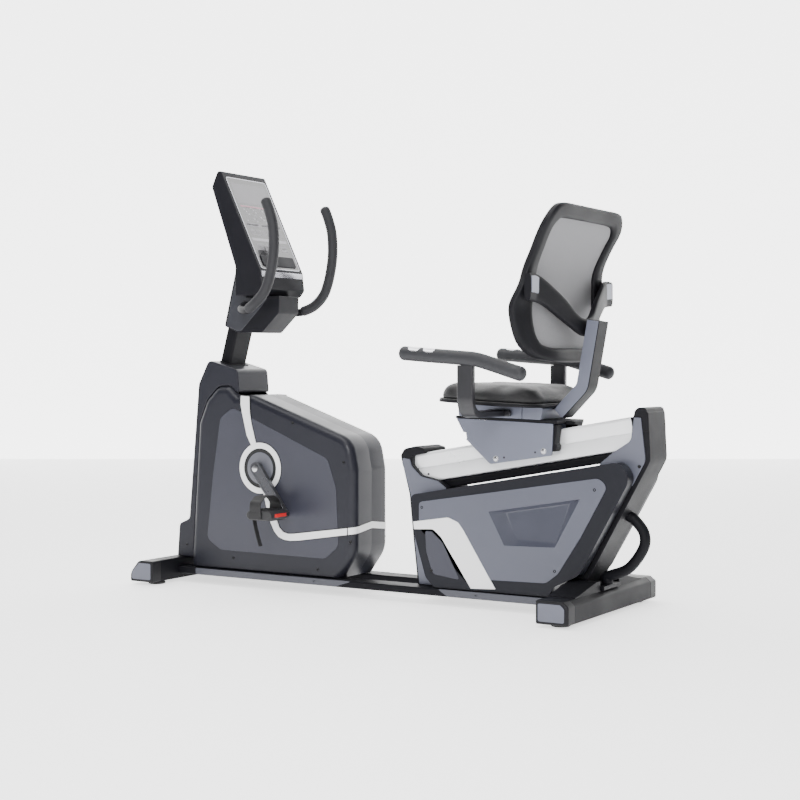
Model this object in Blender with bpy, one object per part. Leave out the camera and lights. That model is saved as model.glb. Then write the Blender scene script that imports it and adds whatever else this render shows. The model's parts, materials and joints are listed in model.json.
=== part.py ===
"""Recumbent exercise bike: a pedal unit and a seat unit on one twin-beam base.

Metres, +Z up. The rider faces -X, the rider's left is -Y, and the origin is under the middle of the
bike at floor height. Side outlines are drawn in (x, z), cross outlines in (y, z), plans in (x, y).
"""

import math

import bmesh
import bpy
from mathutils import Matrix, Vector

# Shared clearances and walls
GAP = 0.0003            # air between two pieces that touch
RUNNING = 0.0006        # air between a turning piece and what it turns in
WALL = 0.003            # moulded covers
TUBE_WALL = 0.0025      # steel tubes

# Base
BASE_LENGTH = 1.606     # front edge of the front foot bar to the rear edge of the rear one
BASE_REAR_X = 0.737
BEAM_HALF_GAP = 0.050   # half the slot between the two beams
BEAM_WIDTH = 0.070
BEAM_BOTTOM = 0.028
BEAM_TOP = 0.050
FRONT_BAR_DEPTH = 0.093
FRONT_BAR_HALF = 0.205
FRONT_BAR_TOP = 0.079
REAR_BAR_DEPTH = 0.099
REAR_BAR_HALF = 0.270
REAR_BAR_TOP = 0.076
END_CAP_LENGTH = 0.044
FOOT_BAR_WALL = 0.004
BAR_BOTTOM = 0.010
FOOT_RADIUS = 0.028
FOOT_PLATE = 0.008
STUD_RADIUS = 0.006
WHEEL_RADIUS = 0.022
WHEEL_WIDTH = 0.020
WHEEL_Y = 0.155
WHEEL_CLEARANCE = 0.006  # under and ahead of the wheels, with the bike on its feet

# Pedal unit, drawn with the front edge of the base at DRAWN_FRONT_X
DRAWN_FRONT_X = -0.869
FRONT_HALF_WIDTH = 0.100
NECK_HALF_WIDTH = 0.084
SHELL_BOTTOM = 0.053
SHELL_ROUNDING = 0.024
CRANK = Vector((-0.450, 0.386))
CRANK_LENGTH = 0.170
CRANK_ANGLE = math.radians(37.0)    # left arm from straight down, towards the seat
AXLE_RADIUS = 0.010
CRANK_ARM_THICKNESS = 0.019
FRAME_HALF = 0.022
PULLEY_RADIUS = 0.115
SMALL_PULLEY_RADIUS = 0.0230
PULLEY_WIDTH = 0.018
BELT_THICKNESS = 0.0035
FLYWHEEL = Vector((-0.232, 0.270))
FLYWHEEL_RADIUS = 0.112
FLYWHEEL_WIDTH = 0.038
SHAFT_RADIUS = 0.008
RING_OUTER = 0.082
RING_INNER = 0.064
TRIM_THICKNESS = 0.003

# Pedals
PEDAL_LENGTH = 0.096
PEDAL_WIDTH = 0.100
PEDAL_THICKNESS = 0.034
PEDAL_STANDOFF = 0.018
SPINDLE_RADIUS = 0.007
STRAP_THICKNESS = 0.0025
STRAP_WIDTH = 0.050
STRAP_FRONT = -0.036     # its front edge from the spindle
STRAP_RISE = 0.040

# Mast and console, drawn with a mast of DRAWN_MAST_LENGTH
MAST_FOOT = Vector((-0.671, 0.600))
MAST_LEAN = math.radians(15.5)
MAST_LENGTH = 0.425
DRAWN_MAST_LENGTH = 0.425
MAST_DEPTH = 0.040
MAST_WIDTH = 0.090
COVER_HALF_WIDTH = 0.056
CONSOLE_HALF_WIDTH = 0.120
BAR_RADIUS = 0.0127
GRIP_RADIUS = 0.0165
HORN_HALF_SPREAD = 0.165

# Seat unit
POST_WALL = 0.004
POST_FLANGE = 0.012      # the plate at its foot
POST_FLANGE_REAR = 0.731
RAIL_SLOPE = math.radians(10.15)
RAIL_HALF_WIDTH = 0.050
RAIL_TO_POST = 0.016     # from the rail's side to the side of the post that holds it
RAIL_TO_SHELL = 0.062
POST_HALF_WIDTH = RAIL_HALF_WIDTH + RAIL_TO_POST
REAR_HALF_WIDTH = RAIL_HALF_WIDTH + RAIL_TO_SHELL
RAIL_HEIGHT = 0.0900
RAIL_WALL = 0.004
RAIL_START_X = 0.093
RAIL_START_TOP = 0.4436
RAIL_LENGTH = 0.722
SUPPORT_HEIGHT = 0.0250
SUPPORT_HALF_WIDTH = 0.040
SUPPORT_DROP = 0.0010
LOOP_RADIUS = 0.0155

# Seat
PLATE = 0.005
RAIL_TO_CARRIAGE = 0.042
CARRIAGE_HALF_WIDTH = RAIL_HALF_WIDTH + RAIL_TO_CARRIAGE
SEAT_BASE_HALF_WIDTH = 0.100
CUSHION_HALF_WIDTH = 0.205
ARM_SPREAD = 0.300
ARM_RADIUS = 0.018
BACK_POST_HALF_WIDTH = 0.035
BACK_THICKNESS = 0.026
BACK_MESH_THICKNESS = 0.003
LEVER_RADIUS = 0.006

FINISHES = {
    "black_steel": ((0.020, 0.020, 0.022), 0.45, 0.0),
    "grey_housing": ((0.085, 0.090, 0.110), 0.42, 0.0),
    "silver_panel": ((0.245, 0.260, 0.315), 0.38, 0.3),
    "white_trim": ((0.900, 0.900, 0.900), 0.18, 0.0),
    "black_plastic": ((0.016, 0.016, 0.018), 0.50, 0.0),
    "rail_aluminium": ((0.780, 0.790, 0.800), 0.28, 1.0),
    "machined_steel": ((0.450, 0.450, 0.460), 0.35, 1.0),
    "cast_iron": ((0.120, 0.120, 0.125), 0.55, 1.0),
    "rubber": ((0.022, 0.022, 0.022), 0.85, 0.0),
    "foam_grip": ((0.018, 0.018, 0.020), 0.80, 0.0),
    "seat_leather": ((0.014, 0.014, 0.016), 0.55, 0.0),
    "back_mesh_cloth": ((0.230, 0.230, 0.240), 0.80, 0.0),
    "screen": ((0.010, 0.010, 0.014), 0.10, 0.0),
}


def build_finish(name):
    colour, roughness, metallic = FINISHES[name]
    finish = bpy.data.materials.new(name)
    finish.use_nodes = True
    shader = finish.node_tree.nodes["Principled BSDF"]
    shader.inputs["Base Color"].default_value = (*colour, 1.0)
    shader.inputs["Roughness"].default_value = roughness
    shader.inputs["Metallic"].default_value = metallic
    return finish


for scene_object in list(bpy.data.objects):
    bpy.data.objects.remove(scene_object)
finishes = {name: build_finish(name) for name in FINISHES}


# Outlines

def arc(centre, radius, start, end, steps):
    """Points on a circle, from the start angle to the end angle in degrees."""
    turns = [math.radians(start + (end - start) * i / steps) for i in range(steps + 1)]
    return [(centre[0] + radius * math.cos(t), centre[1] + radius * math.sin(t)) for t in turns]


def circle(centre, radius, steps):
    return arc(centre, radius, 0.0, 360.0, steps)[:-1]


def rounded(points, radius, steps=3):
    """The outline with its corners turned into arcs. A third number in a point is its own radius."""
    result = []
    for i, point in enumerate(points):
        corner = Vector(point[:2])
        before = Vector(points[i - 1][:2]) - corner
        after = Vector(points[(i + 1) % len(points)][:2]) - corner
        wanted = point[2] if len(point) > 2 else radius
        half_angle = before.angle(after) / 2
        reach = min(wanted / math.tan(half_angle), 0.48 * before.length, 0.48 * after.length)
        if reach < 0.0008 or half_angle > math.radians(86):
            result.append(tuple(corner))
            continue
        first = corner + before.normalized() * reach
        last = corner + after.normalized() * reach
        for step in range(steps + 1):
            t = step / steps
            result.append(tuple(first * (1 - t) ** 2 + corner * 2 * t * (1 - t) + last * t ** 2))
    return result


def offset_path(path, distance):
    """The path moved sideways, to its left for a positive distance, with mitred bends."""
    centres = [Vector(p) for p in path]
    moved = []
    for i, centre in enumerate(centres):
        into = (centre - centres[i - 1]).normalized() if i else None
        out = (centres[i + 1] - centre).normalized() if i + 1 < len(centres) else into
        into = into or out
        along = (into + out).normalized()
        across = Vector((-along.y, along.x))
        mitre = across.dot(Vector((-into.y, into.x)))
        moved.append(tuple(centre + across * (distance / mitre)))
    return moved


def band(path, width):
    """The outline of a strip of one width along a path."""
    return offset_path(path, width / 2) + offset_path(path, -width / 2)[::-1]


def inset(points, wall):
    """A counter-clockwise outline's corners moved inwards by a wall."""
    corners = [p[:2] for p in points]
    return offset_path([corners[-1], *corners, corners[0]], wall)[1:-1]


def pull_loop(first, first_radius, second, second_radius, steps):
    """The outline of a belt pulled tight round two circles."""
    away = Vector(second) - Vector(first)
    heading = math.degrees(math.atan2(away.y, away.x))
    spread = math.degrees(math.acos((first_radius - second_radius) / away.length))
    near = arc(first, first_radius, heading + spread, heading + 360 - spread, steps)
    far = arc(second, second_radius, heading - spread, heading + spread, steps)
    return near + far


def smooth_path(points, steps=2):
    """A Catmull-Rom curve through the points."""
    knots = [Vector(p) for p in points]
    knots = [knots[0] * 2 - knots[1], *knots, knots[-1] * 2 - knots[-2]]
    path = []
    for a, b, c, d in zip(knots, knots[1:], knots[2:], knots[3:]):
        for step in range(steps):
            t = step / steps
            path.append(0.5 * (2 * b + (c - a) * t + (2 * a - 5 * b + 4 * c - d) * t * t
                               + (3 * b - a - 3 * c + d) * t ** 3))
    path.append(knots[-2])
    return path


# Solids

def finish_mesh(name, shape, finish, parent):
    bmesh.ops.recalc_face_normals(shape, faces=shape.faces)
    mesh = bpy.data.meshes.new(name)
    shape.to_mesh(mesh)
    shape.free()
    mesh.shade_smooth()
    mesh.set_sharp_from_angle(angle=math.radians(35))
    solid = bpy.data.objects.new(name, mesh)
    mesh.materials.append(finishes[finish])
    bpy.context.collection.objects.link(solid)
    solid.parent = parent
    return solid


def placed(u, v, axis, level):
    """A drawn point in space: the outline's plane is square to the axis."""
    return {"X": (level, u, v), "Y": (u, level, v), "Z": (u, v, level)}[axis]


def slab(outline, axis, low, high, hole=None):
    """A bmesh plate of the outline between two levels, with an optional hole of as many points."""
    shape = bmesh.new()
    outer = [shape.verts.new(placed(u, v, axis, low)) for u, v in outline]
    if hole is None:
        faces = [shape.faces.new(outer)]
    else:
        inner = [shape.verts.new(placed(u, v, axis, low)) for u, v in hole]
        count = len(outer)
        faces = []
        for i in range(count):
            j = (i + 1) % count
            faces.append(shape.faces.new((outer[i], outer[j], inner[j], inner[i])))
    grown = bmesh.ops.extrude_face_region(shape, geom=faces)["geom"]
    lifted = [v for v in grown if isinstance(v, bmesh.types.BMVert)]
    bmesh.ops.translate(shape, vec=Vector(placed(0, 0, axis, high - low)), verts=lifted)
    bmesh.ops.recalc_face_normals(shape, faces=shape.faces)
    return shape


def level_edges(shape, axis, level):
    """The edges that lie in one level of a plate."""
    i = "XYZ".index(axis)
    return [e for e in shape.edges if all(abs(v.co[i] - level) < 1e-6 for v in e.verts)]


def plate(name, outline, axis, low, high, finish, parent=None, hole=None, bevel=0.0, segments=2):
    """A plate with both rims rounded by the bevel."""
    shape = slab(outline, axis, low, high, hole)
    if bevel:
        rims = level_edges(shape, axis, low) + level_edges(shape, axis, high)
        bmesh.ops.bevel(shape, geom=rims, offset=bevel, segments=segments, profile=0.5,
                        affect="EDGES", clamp_overlap=True)
    return finish_mesh(name, shape, finish, parent)


def half_shell(name, outline, inner_y, outer_y, rounding, finish, parent, floor_z=None):
    """One moulded side of a housing: open where it meets its other half, and below floor_z."""
    shape = slab(outline, "Y", inner_y, outer_y)
    bmesh.ops.bevel(shape, geom=level_edges(shape, "Y", outer_y), offset=rounding, segments=3,
                    profile=0.5, affect="EDGES", clamp_overlap=True)
    open_face = [f for f in shape.faces if all(abs(v.co.y - inner_y) < 1e-6 for v in f.verts)]
    bmesh.ops.delete(shape, geom=open_face, context="FACES_ONLY")
    if floor_z is not None:
        every = shape.verts[:] + shape.edges[:] + shape.faces[:]
        bmesh.ops.bisect_plane(shape, geom=every, plane_co=(0, 0, floor_z), plane_no=(0, 0, -1),
                               clear_outer=True)
    bmesh.ops.remove_doubles(shape, verts=shape.verts, dist=0.0001)
    mesh_object = finish_mesh(name, shape, finish, parent)
    if outward_error(mesh_object.data) < 0:
        mesh_object.data.flip_normals()
    thicken(mesh_object, WALL)
    return mesh_object


def outward_error(mesh):
    """Positive when most faces of an open shell point away from its middle."""
    middle = sum((v.co for v in mesh.vertices), Vector()) / len(mesh.vertices)
    return sum(p.area * p.normal.dot(p.center - middle) for p in mesh.polygons)


def thicken(solid, wall):
    skin = solid.modifiers.new("wall", "SOLIDIFY")
    skin.thickness = wall
    skin.offset = -1.0
    skin.use_even_offset = True
    return skin


def cut(solid, tool, operation="DIFFERENCE"):
    """A Boolean with a hidden tool."""
    tool.hide_render = True
    tool.display_type = "WIRE"
    step = solid.modifiers.new(tool.name, "BOOLEAN")
    step.operation = operation
    step.solver = "EXACT"
    step.object = tool
    return solid


def join(solid, tool):
    return cut(solid, tool, "UNION")


def cylinder(name, centre, radius, low, high, finish, parent=None, steps=16, axis="Y", bevel=0.0):
    return plate(name, circle(centre, radius, steps), axis, low, high, finish, parent, bevel=bevel)


def tube(name, path, radius, finish, parent=None, bore=0.0, sides=3):
    """A round bar along a path, or with a bore, a sleeve that is open at both ends."""
    curve = bpy.data.curves.new(name, "CURVE")
    curve.dimensions = "3D"
    curve.bevel_depth = radius
    curve.bevel_resolution = sides
    curve.use_fill_caps = not bore
    curve.render_resolution_u = 0
    line = curve.splines.new("POLY")
    line.points.add(len(path) - 1)
    for point, co in zip(line.points, path):
        point.co = (*co, 1.0)
        point.radius = 1.0
    curve.materials.append(finishes[finish])
    solid = bpy.data.objects.new(name, curve)
    bpy.context.collection.objects.link(solid)
    solid.parent = parent
    if bore:
        thicken(solid, radius - bore)
    return solid


def empty(name, location, parent=None, turn_y=0.0):
    """A joint axis or a place that pieces hang on."""
    marker = bpy.data.objects.new(name, None)
    bpy.context.collection.objects.link(marker)
    marker.location = location
    marker.rotation_euler = (0.0, turn_y, 0.0)
    marker.parent = parent
    return marker


def box_outline(low_u, high_u, low_v, high_v):
    return [(low_u, low_v), (high_u, low_v), (high_u, high_v), (low_u, high_v)]


SIDES = (("left", -1), ("right", 1))


# Base: two beams, two foot bars with end caps, levelling feet and transport wheels

front_x = BASE_REAR_X - BASE_LENGTH
front_bar_rear_x = front_x + FRONT_BAR_DEPTH
rear_bar_front_x = BASE_REAR_X - REAR_BAR_DEPTH
front_unit = empty("front_unit", (front_x - DRAWN_FRONT_X, 0.0, 0.0))

beam_mid_x = (front_bar_rear_x + rear_bar_front_x) / 2
beam_length = rear_bar_front_x - front_bar_rear_x - 2 * GAP
for side_name, side in SIDES:
    inner, outer = sorted((side * BEAM_HALF_GAP, side * (BEAM_HALF_GAP + BEAM_WIDTH)))
    section = rounded(box_outline(inner, outer, BEAM_BOTTOM, BEAM_TOP), 0.004, 2)
    bore = rounded(box_outline(inner + TUBE_WALL, outer - TUBE_WALL, BEAM_BOTTOM + TUBE_WALL,
                               BEAM_TOP - TUBE_WALL), 0.002, 2)
    plate(f"base_beam_{side_name}", section, "X", beam_mid_x - beam_length / 2,
          beam_mid_x + beam_length / 2, "black_steel", hole=bore)

front_bar_outline = rounded([
    (front_x, BAR_BOTTOM, 0.006), (front_bar_rear_x, BAR_BOTTOM, 0.006),
    (front_bar_rear_x, FRONT_BAR_TOP, 0.006), (front_x + 0.034, FRONT_BAR_TOP, 0.020),
    (front_x, FRONT_BAR_TOP - 0.040, 0.030)], 0.006)
rear_bar_outline = rounded([
    (rear_bar_front_x, BAR_BOTTOM), (BASE_REAR_X, BAR_BOTTOM),
    (BASE_REAR_X, REAR_BAR_TOP - 0.014), (BASE_REAR_X - 0.018, REAR_BAR_TOP, 0.012),
    (rear_bar_front_x, REAR_BAR_TOP)], 0.005)

rear_bar_mid = Vector(((rear_bar_front_x + BASE_REAR_X) / 2, (BAR_BOTTOM + REAR_BAR_TOP) / 2))
rear_bore_scale = Vector((1 - 2 * FOOT_BAR_WALL / REAR_BAR_DEPTH,
                          1 - 2 * FOOT_BAR_WALL / (REAR_BAR_TOP - BAR_BOTTOM)))
wheel_axis = Vector((front_x, 0.0)) + Vector((1, 1)) * (WHEEL_RADIUS + WHEEL_CLEARANCE)
front_bar = plate("front_foot_bar", front_bar_outline, "Y", -FRONT_BAR_HALF, FRONT_BAR_HALF,
                  "black_steel")
rear_bar_bore = [((x - rear_bar_mid.x) * rear_bore_scale.x + rear_bar_mid.x,
                  (z - rear_bar_mid.y) * rear_bore_scale.y + rear_bar_mid.y)
                 for x, z in rear_bar_outline]
plate("rear_foot_bar", rear_bar_outline, "Y", -REAR_BAR_HALF, REAR_BAR_HALF, "black_steel",
      hole=rear_bar_bore)


def foot_bar_ends(end_name, outline, half, finish):
    for side_name, side in SIDES:
        near, far = sorted((side * (half + GAP), side * (half + END_CAP_LENGTH)))
        shape = slab(outline, "Y", near, far)
        rim = level_edges(shape, "Y", side * (half + END_CAP_LENGTH))
        bmesh.ops.bevel(shape, geom=rim, offset=0.0025, segments=1, profile=0.5, affect="EDGES",
                        clamp_overlap=True)
        finish_mesh(f"{end_name}_end_cap_{side_name}", shape, finish, None)


def levelling_feet(end_name, x, half):
    for side_name, side in SIDES:
        place = (x, side * half)
        foot = cylinder(f"{end_name}_foot_{side_name}", place, FOOT_RADIUS, 0.0, FOOT_PLATE,
                        "rubber", axis="Z", bevel=0.002)
        stud = cylinder("stud", place, STUD_RADIUS, FOOT_PLATE / 2, BAR_BOTTOM - GAP,
                        "machined_steel", axis="Z", steps=12)
        join(foot, stud)


foot_bar_ends("front", front_bar_outline, FRONT_BAR_HALF, "silver_panel")
foot_bar_ends("rear", rear_bar_outline, REAR_BAR_HALF, "silver_panel")
levelling_feet("front", front_bar_rear_x - 0.028, FRONT_BAR_HALF - 0.012)
levelling_feet("rear", rear_bar_front_x + REAR_BAR_DEPTH / 2, REAR_BAR_HALF - 0.014)

for side_name, side in SIDES:
    inner, outer = sorted((side * WHEEL_Y, side * (WHEEL_Y + WHEEL_WIDTH)))
    wheel_x, wheel_z = wheel_axis
    wheel = cylinder(f"transport_wheel_{side_name}", (wheel_x, wheel_z), WHEEL_RADIUS, inner,
                     outer, "rubber", steps=20, bevel=0.002)
    hub_in, hub_out = inner - 0.006, outer + 0.006
    join(wheel, cylinder("wheel_pin", (wheel_x, wheel_z), 0.004, hub_in, hub_out,
                         "machined_steel", steps=12))
    well = plate("wheel_well", box_outline(front_x - 0.01, wheel_x + WHEEL_RADIUS + 0.003,
                                           BAR_BOTTOM - 0.01, wheel_z + WHEEL_RADIUS + 0.003),
                 "Y", inner - 0.003, outer + 0.003, "black_steel")
    cut(front_bar, well)
    cut(front_bar, cylinder("wheel_pin_hole", (wheel_x, wheel_z), 0.004 + RUNNING, hub_in - 0.001,
                            hub_out + 0.001, "black_steel", steps=12))


# Pedal unit frame, crank, pulley, belt and flywheel

mast_axis = Vector((math.sin(MAST_LEAN), math.cos(MAST_LEAN)))
mast_across = Vector((mast_axis.y, -mast_axis.x))
seat_of_mast = [MAST_FOOT + mast_across * offset - mast_axis * GAP for offset in (0.030, -0.030)]
frame_outline = rounded([
    (-0.708, BEAM_TOP + GAP), (-0.600, BEAM_TOP + GAP), (-0.612, 0.200, 0.02),
    (FLYWHEEL.x + 0.005, FLYWHEEL.y - 0.036, 0.02), (FLYWHEEL.x + 0.036, FLYWHEEL.y, 0.03),
    (FLYWHEEL.x + 0.005, FLYWHEEL.y + 0.036, 0.02), (CRANK.x + 0.050, CRANK.y + 0.030, 0.02),
    (CRANK.x, CRANK.y + 0.048, 0.03), (CRANK.x - 0.060, CRANK.y + 0.050, 0.02),
    (-0.632, 0.520, 0.02), (*seat_of_mast[0], 0.0), (*seat_of_mast[1], 0.0)], 0.004, 2)
frame = plate("front_frame", frame_outline, "Y", -FRAME_HALF, FRAME_HALF, "black_steel", front_unit)
foot_half = FRONT_HALF_WIDTH - WALL - 0.004
join(frame, plate("frame_foot", box_outline(-0.720, -0.590, BEAM_TOP + GAP, BEAM_TOP + 0.012),
                  "Y", -foot_half, foot_half, "black_steel", front_unit))
cut(frame, cylinder("crank_bearing", CRANK, AXLE_RADIUS + RUNNING, -0.1, 0.1, "black_steel",
                    front_unit))
cut(frame, cylinder("shaft_bearing", FLYWHEEL, SHAFT_RADIUS + RUNNING, -0.1, 0.1, "black_steel",
                    front_unit))
cut(frame, plate("frame_window", rounded([
    (-0.590, 0.245), (CRANK.x - 0.03, 0.262), (CRANK.x - 0.052, CRANK.y - 0.030),
    (CRANK.x - 0.075, CRANK.y + 0.010), (-0.600, 0.460)], 0.015), "Y", -0.1, 0.1, "black_steel",
    front_unit))

arm_inner = FRONT_HALF_WIDTH + TRIM_THICKNESS + 0.009
arm_outer = arm_inner + CRANK_ARM_THICKNESS
crank = empty("crank", (CRANK.x, 0.0, CRANK.y), front_unit)
axle_half = arm_inner - GAP
cylinder("crank_axle", (0, 0), AXLE_RADIUS, -axle_half, axle_half, "machined_steel", crank)

pulley_inner = FRAME_HALF + 0.007
pulley_outer = pulley_inner + PULLEY_WIDTH
pulley = cylinder("drive_pulley", (0, 0), PULLEY_RADIUS, pulley_inner, pulley_outer,
                  "black_plastic", crank, steps=36)
cut(pulley, cylinder("pulley_bore", (0, 0), AXLE_RADIUS + GAP, 0.0, 0.2, "black_plastic", crank,
                     steps=16))
for spoke in range(5):
    turn = math.radians(72 * spoke)
    cut(pulley, cylinder(f"pulley_window_{spoke}", (0.066 * math.cos(turn), 0.066 * math.sin(turn)),
                         0.026, 0.0, 0.2, "black_plastic", crank, steps=10))

flywheel_axis = empty("flywheel_axis", (FLYWHEEL.x, 0.0, FLYWHEEL.y), front_unit)
fly_outer = -FRAME_HALF - 0.006
flywheel = cylinder("flywheel", (0, 0), FLYWHEEL_RADIUS, fly_outer - FLYWHEEL_WIDTH, fly_outer,
                    "cast_iron", flywheel_axis, steps=36, bevel=0.002)
join(flywheel, cylinder("flywheel_shaft", (0, 0), SHAFT_RADIUS, fly_outer - FLYWHEEL_WIDTH - 0.010,
                        pulley_outer + 0.006, "machined_steel", flywheel_axis))
join(flywheel, cylinder("belt_pulley", (0, 0), SMALL_PULLEY_RADIUS, pulley_inner - 0.001,
                        pulley_outer + 0.001, "machined_steel", flywheel_axis, steps=20))
belt_clear = 0.0008
belt_inner = pull_loop(CRANK, PULLEY_RADIUS + belt_clear, FLYWHEEL,
                       SMALL_PULLEY_RADIUS + belt_clear, 26)
belt_outer = pull_loop(CRANK, PULLEY_RADIUS + belt_clear + BELT_THICKNESS, FLYWHEEL,
                       SMALL_PULLEY_RADIUS + belt_clear + BELT_THICKNESS, 26)
plate("drive_belt", belt_outer, "Y", pulley_inner + 0.001, pulley_outer - 0.001, "rubber",
      front_unit, hole=belt_inner)

# Crank arms, pedals and straps
boss, tip = 0.021, 0.016
pedal_inner = arm_outer + PEDAL_STANDOFF
pedal_outer = pedal_inner + PEDAL_WIDTH
for side_name, side in SIDES:
    swing = CRANK_ANGLE if side < 0 else CRANK_ANGLE + math.pi
    reach = Vector((math.sin(swing), -math.cos(swing))) * CRANK_LENGTH
    arm_outline = pull_loop((0, 0), boss, reach, tip, 10)
    near, far = sorted((side * arm_inner, side * arm_outer))
    plate(f"crank_arm_{side_name}", arm_outline, "Y", near, far, "machined_steel", crank,
          bevel=0.003, segments=1)
    spindle = empty(f"pedal_axis_{side_name}", (reach.x, 0.0, reach.y), crank)
    near, far = sorted((side * pedal_inner, side * pedal_outer))
    tread = rounded(box_outline(-PEDAL_LENGTH / 2, PEDAL_LENGTH / 2, -PEDAL_THICKNESS / 2,
                                PEDAL_THICKNESS / 2), 0.011)
    pedal = plate(f"pedal_{side_name}", tread, "Y", near, far, "black_plastic", spindle,
                  bevel=0.004, segments=1)
    near, far = sorted((side * (arm_outer + GAP), side * (pedal_inner + 0.030)))
    join(pedal, cylinder("pedal_spindle", (0, 0), SPINDLE_RADIUS, near, far, "machined_steel",
                         spindle, steps=12))
    strap_base = -PEDAL_THICKNESS / 2 + 0.006
    strap_top = PEDAL_THICKNESS / 2 + STRAP_RISE
    reach_in = side * (pedal_inner - GAP - STRAP_THICKNESS / 2)
    reach_out = side * (pedal_outer + GAP + STRAP_THICKNESS / 2)
    lean = side * 0.012
    route = [(reach_in, SPINDLE_RADIUS + 0.004), (reach_in, PEDAL_THICKNESS / 2 + 0.016),
             (reach_in + lean, strap_top - 0.010), (reach_in + 2.4 * lean, strap_top),
             (reach_out - 2.4 * lean, strap_top), (reach_out - lean, strap_top - 0.010),
             (reach_out, PEDAL_THICKNESS / 2 + 0.016), (reach_out, strap_base)]
    if side < 0:
        route = route[::-1]
    plate(f"pedal_strap_{side_name}", band(route, STRAP_THICKNESS), "X", STRAP_FRONT,
          STRAP_FRONT + STRAP_WIDTH, "rubber", spindle)


# Front housing: a front cover round the neck, two side shells, and their white inlays

cover_floor = FRONT_BAR_TOP + 0.0012
cover_seam = [(-0.740, cover_floor, 0.0), (-0.740, 0.103, 0.0), (-0.711, 0.528, 0.05),
              (-0.678, 0.604, 0.05), (-0.632, 0.648, 0.04), (-0.583, 0.650, 0.03)]
cover_back = (-0.548, 0.618)
shell_outline = rounded([
    (-0.740 + GAP, 0.030, 0.0), *[(x + 0.0012, z - 0.0010, r) for x, z, r in cover_seam[1:]],
    (cover_back[0] + 0.001, cover_back[1] - 0.001, 0.0), (-0.490, 0.622, 0.050),
    (-0.108, 0.486, 0.060), (-0.090, 0.390, 0.060), (-0.090, 0.130, 0.080), (-0.160, 0.030, 0.0)],
    0.02, 4)
axle_hole = AXLE_RADIUS + 0.0015
for side_name, side in SIDES:
    shell = half_shell(f"front_shell_{side_name}", shell_outline, side * GAP / 2,
                       side * FRONT_HALF_WIDTH, SHELL_ROUNDING, "grey_housing", front_unit,
                       SHELL_BOTTOM)
    cut(shell, cylinder("axle_hole", CRANK, axle_hole, -0.2, 0.2, "grey_housing", front_unit))
    opening = band([(-0.741, 0.070), *[p[:2] for p in cover_seam[1:]], (-0.530, 0.605)], 0.024)
    open_half = FRONT_HALF_WIDTH - SHELL_ROUNDING - 0.003
    cut(shell, plate("cover_opening", opening, "Y", -open_half, open_half, "grey_housing",
                     front_unit))

cover_front = [(-0.808, cover_floor, 0.0), (-0.799, 0.188, 0.012), (-0.757, 0.207, 0.012),
               (-0.716, 0.655, 0.020), (-0.674, 0.737, 0.016), (-0.556, 0.702, 0.012),
               (*cover_back, 0.010)]
cover_outline = rounded([(-0.740, cover_floor, 0.0), *cover_front, *cover_seam[:0:-1]], 0.01)
front_cover = plate("front_cover", cover_outline, "Y", -NECK_HALF_WIDTH, NECK_HALF_WIDTH,
                    "grey_housing", front_unit, bevel=0.008)
inside = offset_path([(-0.808, 0.060), *[p[:2] for p in cover_front[1:]], (-0.530, 0.600)], -WALL)
inside += [(-0.600, 0.560), (-0.690, 0.480), (-0.720, 0.060)]
cut(front_cover, plate("cover_inside", inside, "Y", -NECK_HALF_WIDTH + WALL,
                       NECK_HALF_WIDTH - WALL, "grey_housing", front_unit))

trim_ring = circle(CRANK, RING_OUTER, 36)
trim_ring_hole = circle(CRANK, RING_INNER, 36)
upper_leg = [(-0.527, 0.612), (-0.528, 0.580), (-0.497, 0.468), (-0.474, 0.450), (-0.466, 0.462),
             (-0.470, 0.480), (-0.490, 0.555), (-0.494, 0.604)]
lower_leg_spine = [(-0.432, 0.316), (-0.421, 0.290), (-0.402, 0.230), (-0.380, 0.192),
                   (-0.345, 0.173), (-0.300, 0.174), (-0.122, 0.197)]
for side_name, side in SIDES:
    near, far = sorted((side * (FRONT_HALF_WIDTH + GAP), side * (FRONT_HALF_WIDTH + TRIM_THICKNESS)))
    trim = plate(f"front_trim_{side_name}", trim_ring, "Y", near, far, "white_trim", front_unit,
                 hole=trim_ring_hole)
    join(trim, plate("upper_leg", upper_leg, "Y", near, far, "white_trim", front_unit))
    join(trim, plate("lower_leg", band(lower_leg_spine, 0.021), "Y", near, far, "white_trim",
                     front_unit))


# Mast, its cover, the console and the handlebar

mast_seat = empty("mast_seat", (MAST_FOOT.x, 0.0, MAST_FOOT.y), front_unit, MAST_LEAN)
mast_outer = rounded(box_outline(-MAST_DEPTH / 2, MAST_DEPTH / 2, -MAST_WIDTH / 2, MAST_WIDTH / 2),
                     0.008)
mast_bore = rounded(box_outline(-MAST_DEPTH / 2 + TUBE_WALL, MAST_DEPTH / 2 - TUBE_WALL,
                                -MAST_WIDTH / 2 + TUBE_WALL, MAST_WIDTH / 2 - TUBE_WALL), 0.006)
plate("console_mast", mast_outer, "Z", 0.0, MAST_LENGTH, "black_steel", mast_seat, hole=mast_bore)
mast_slot = rounded(box_outline(-MAST_DEPTH / 2 - 0.001, MAST_DEPTH / 2 + 0.001,
                                -MAST_WIDTH / 2 - 0.001, MAST_WIDTH / 2 + 0.001), 0.008)
cut(front_cover, plate("mast_hole", mast_slot, "Z", -0.02, 0.30, "black_steel", mast_seat))
for side_name, side in SIDES:
    cut(bpy.data.objects[f"front_shell_{side_name}"],
        plate("shell_mast_hole", mast_slot, "Z", -0.02, 0.30, "black_steel", mast_seat))

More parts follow.
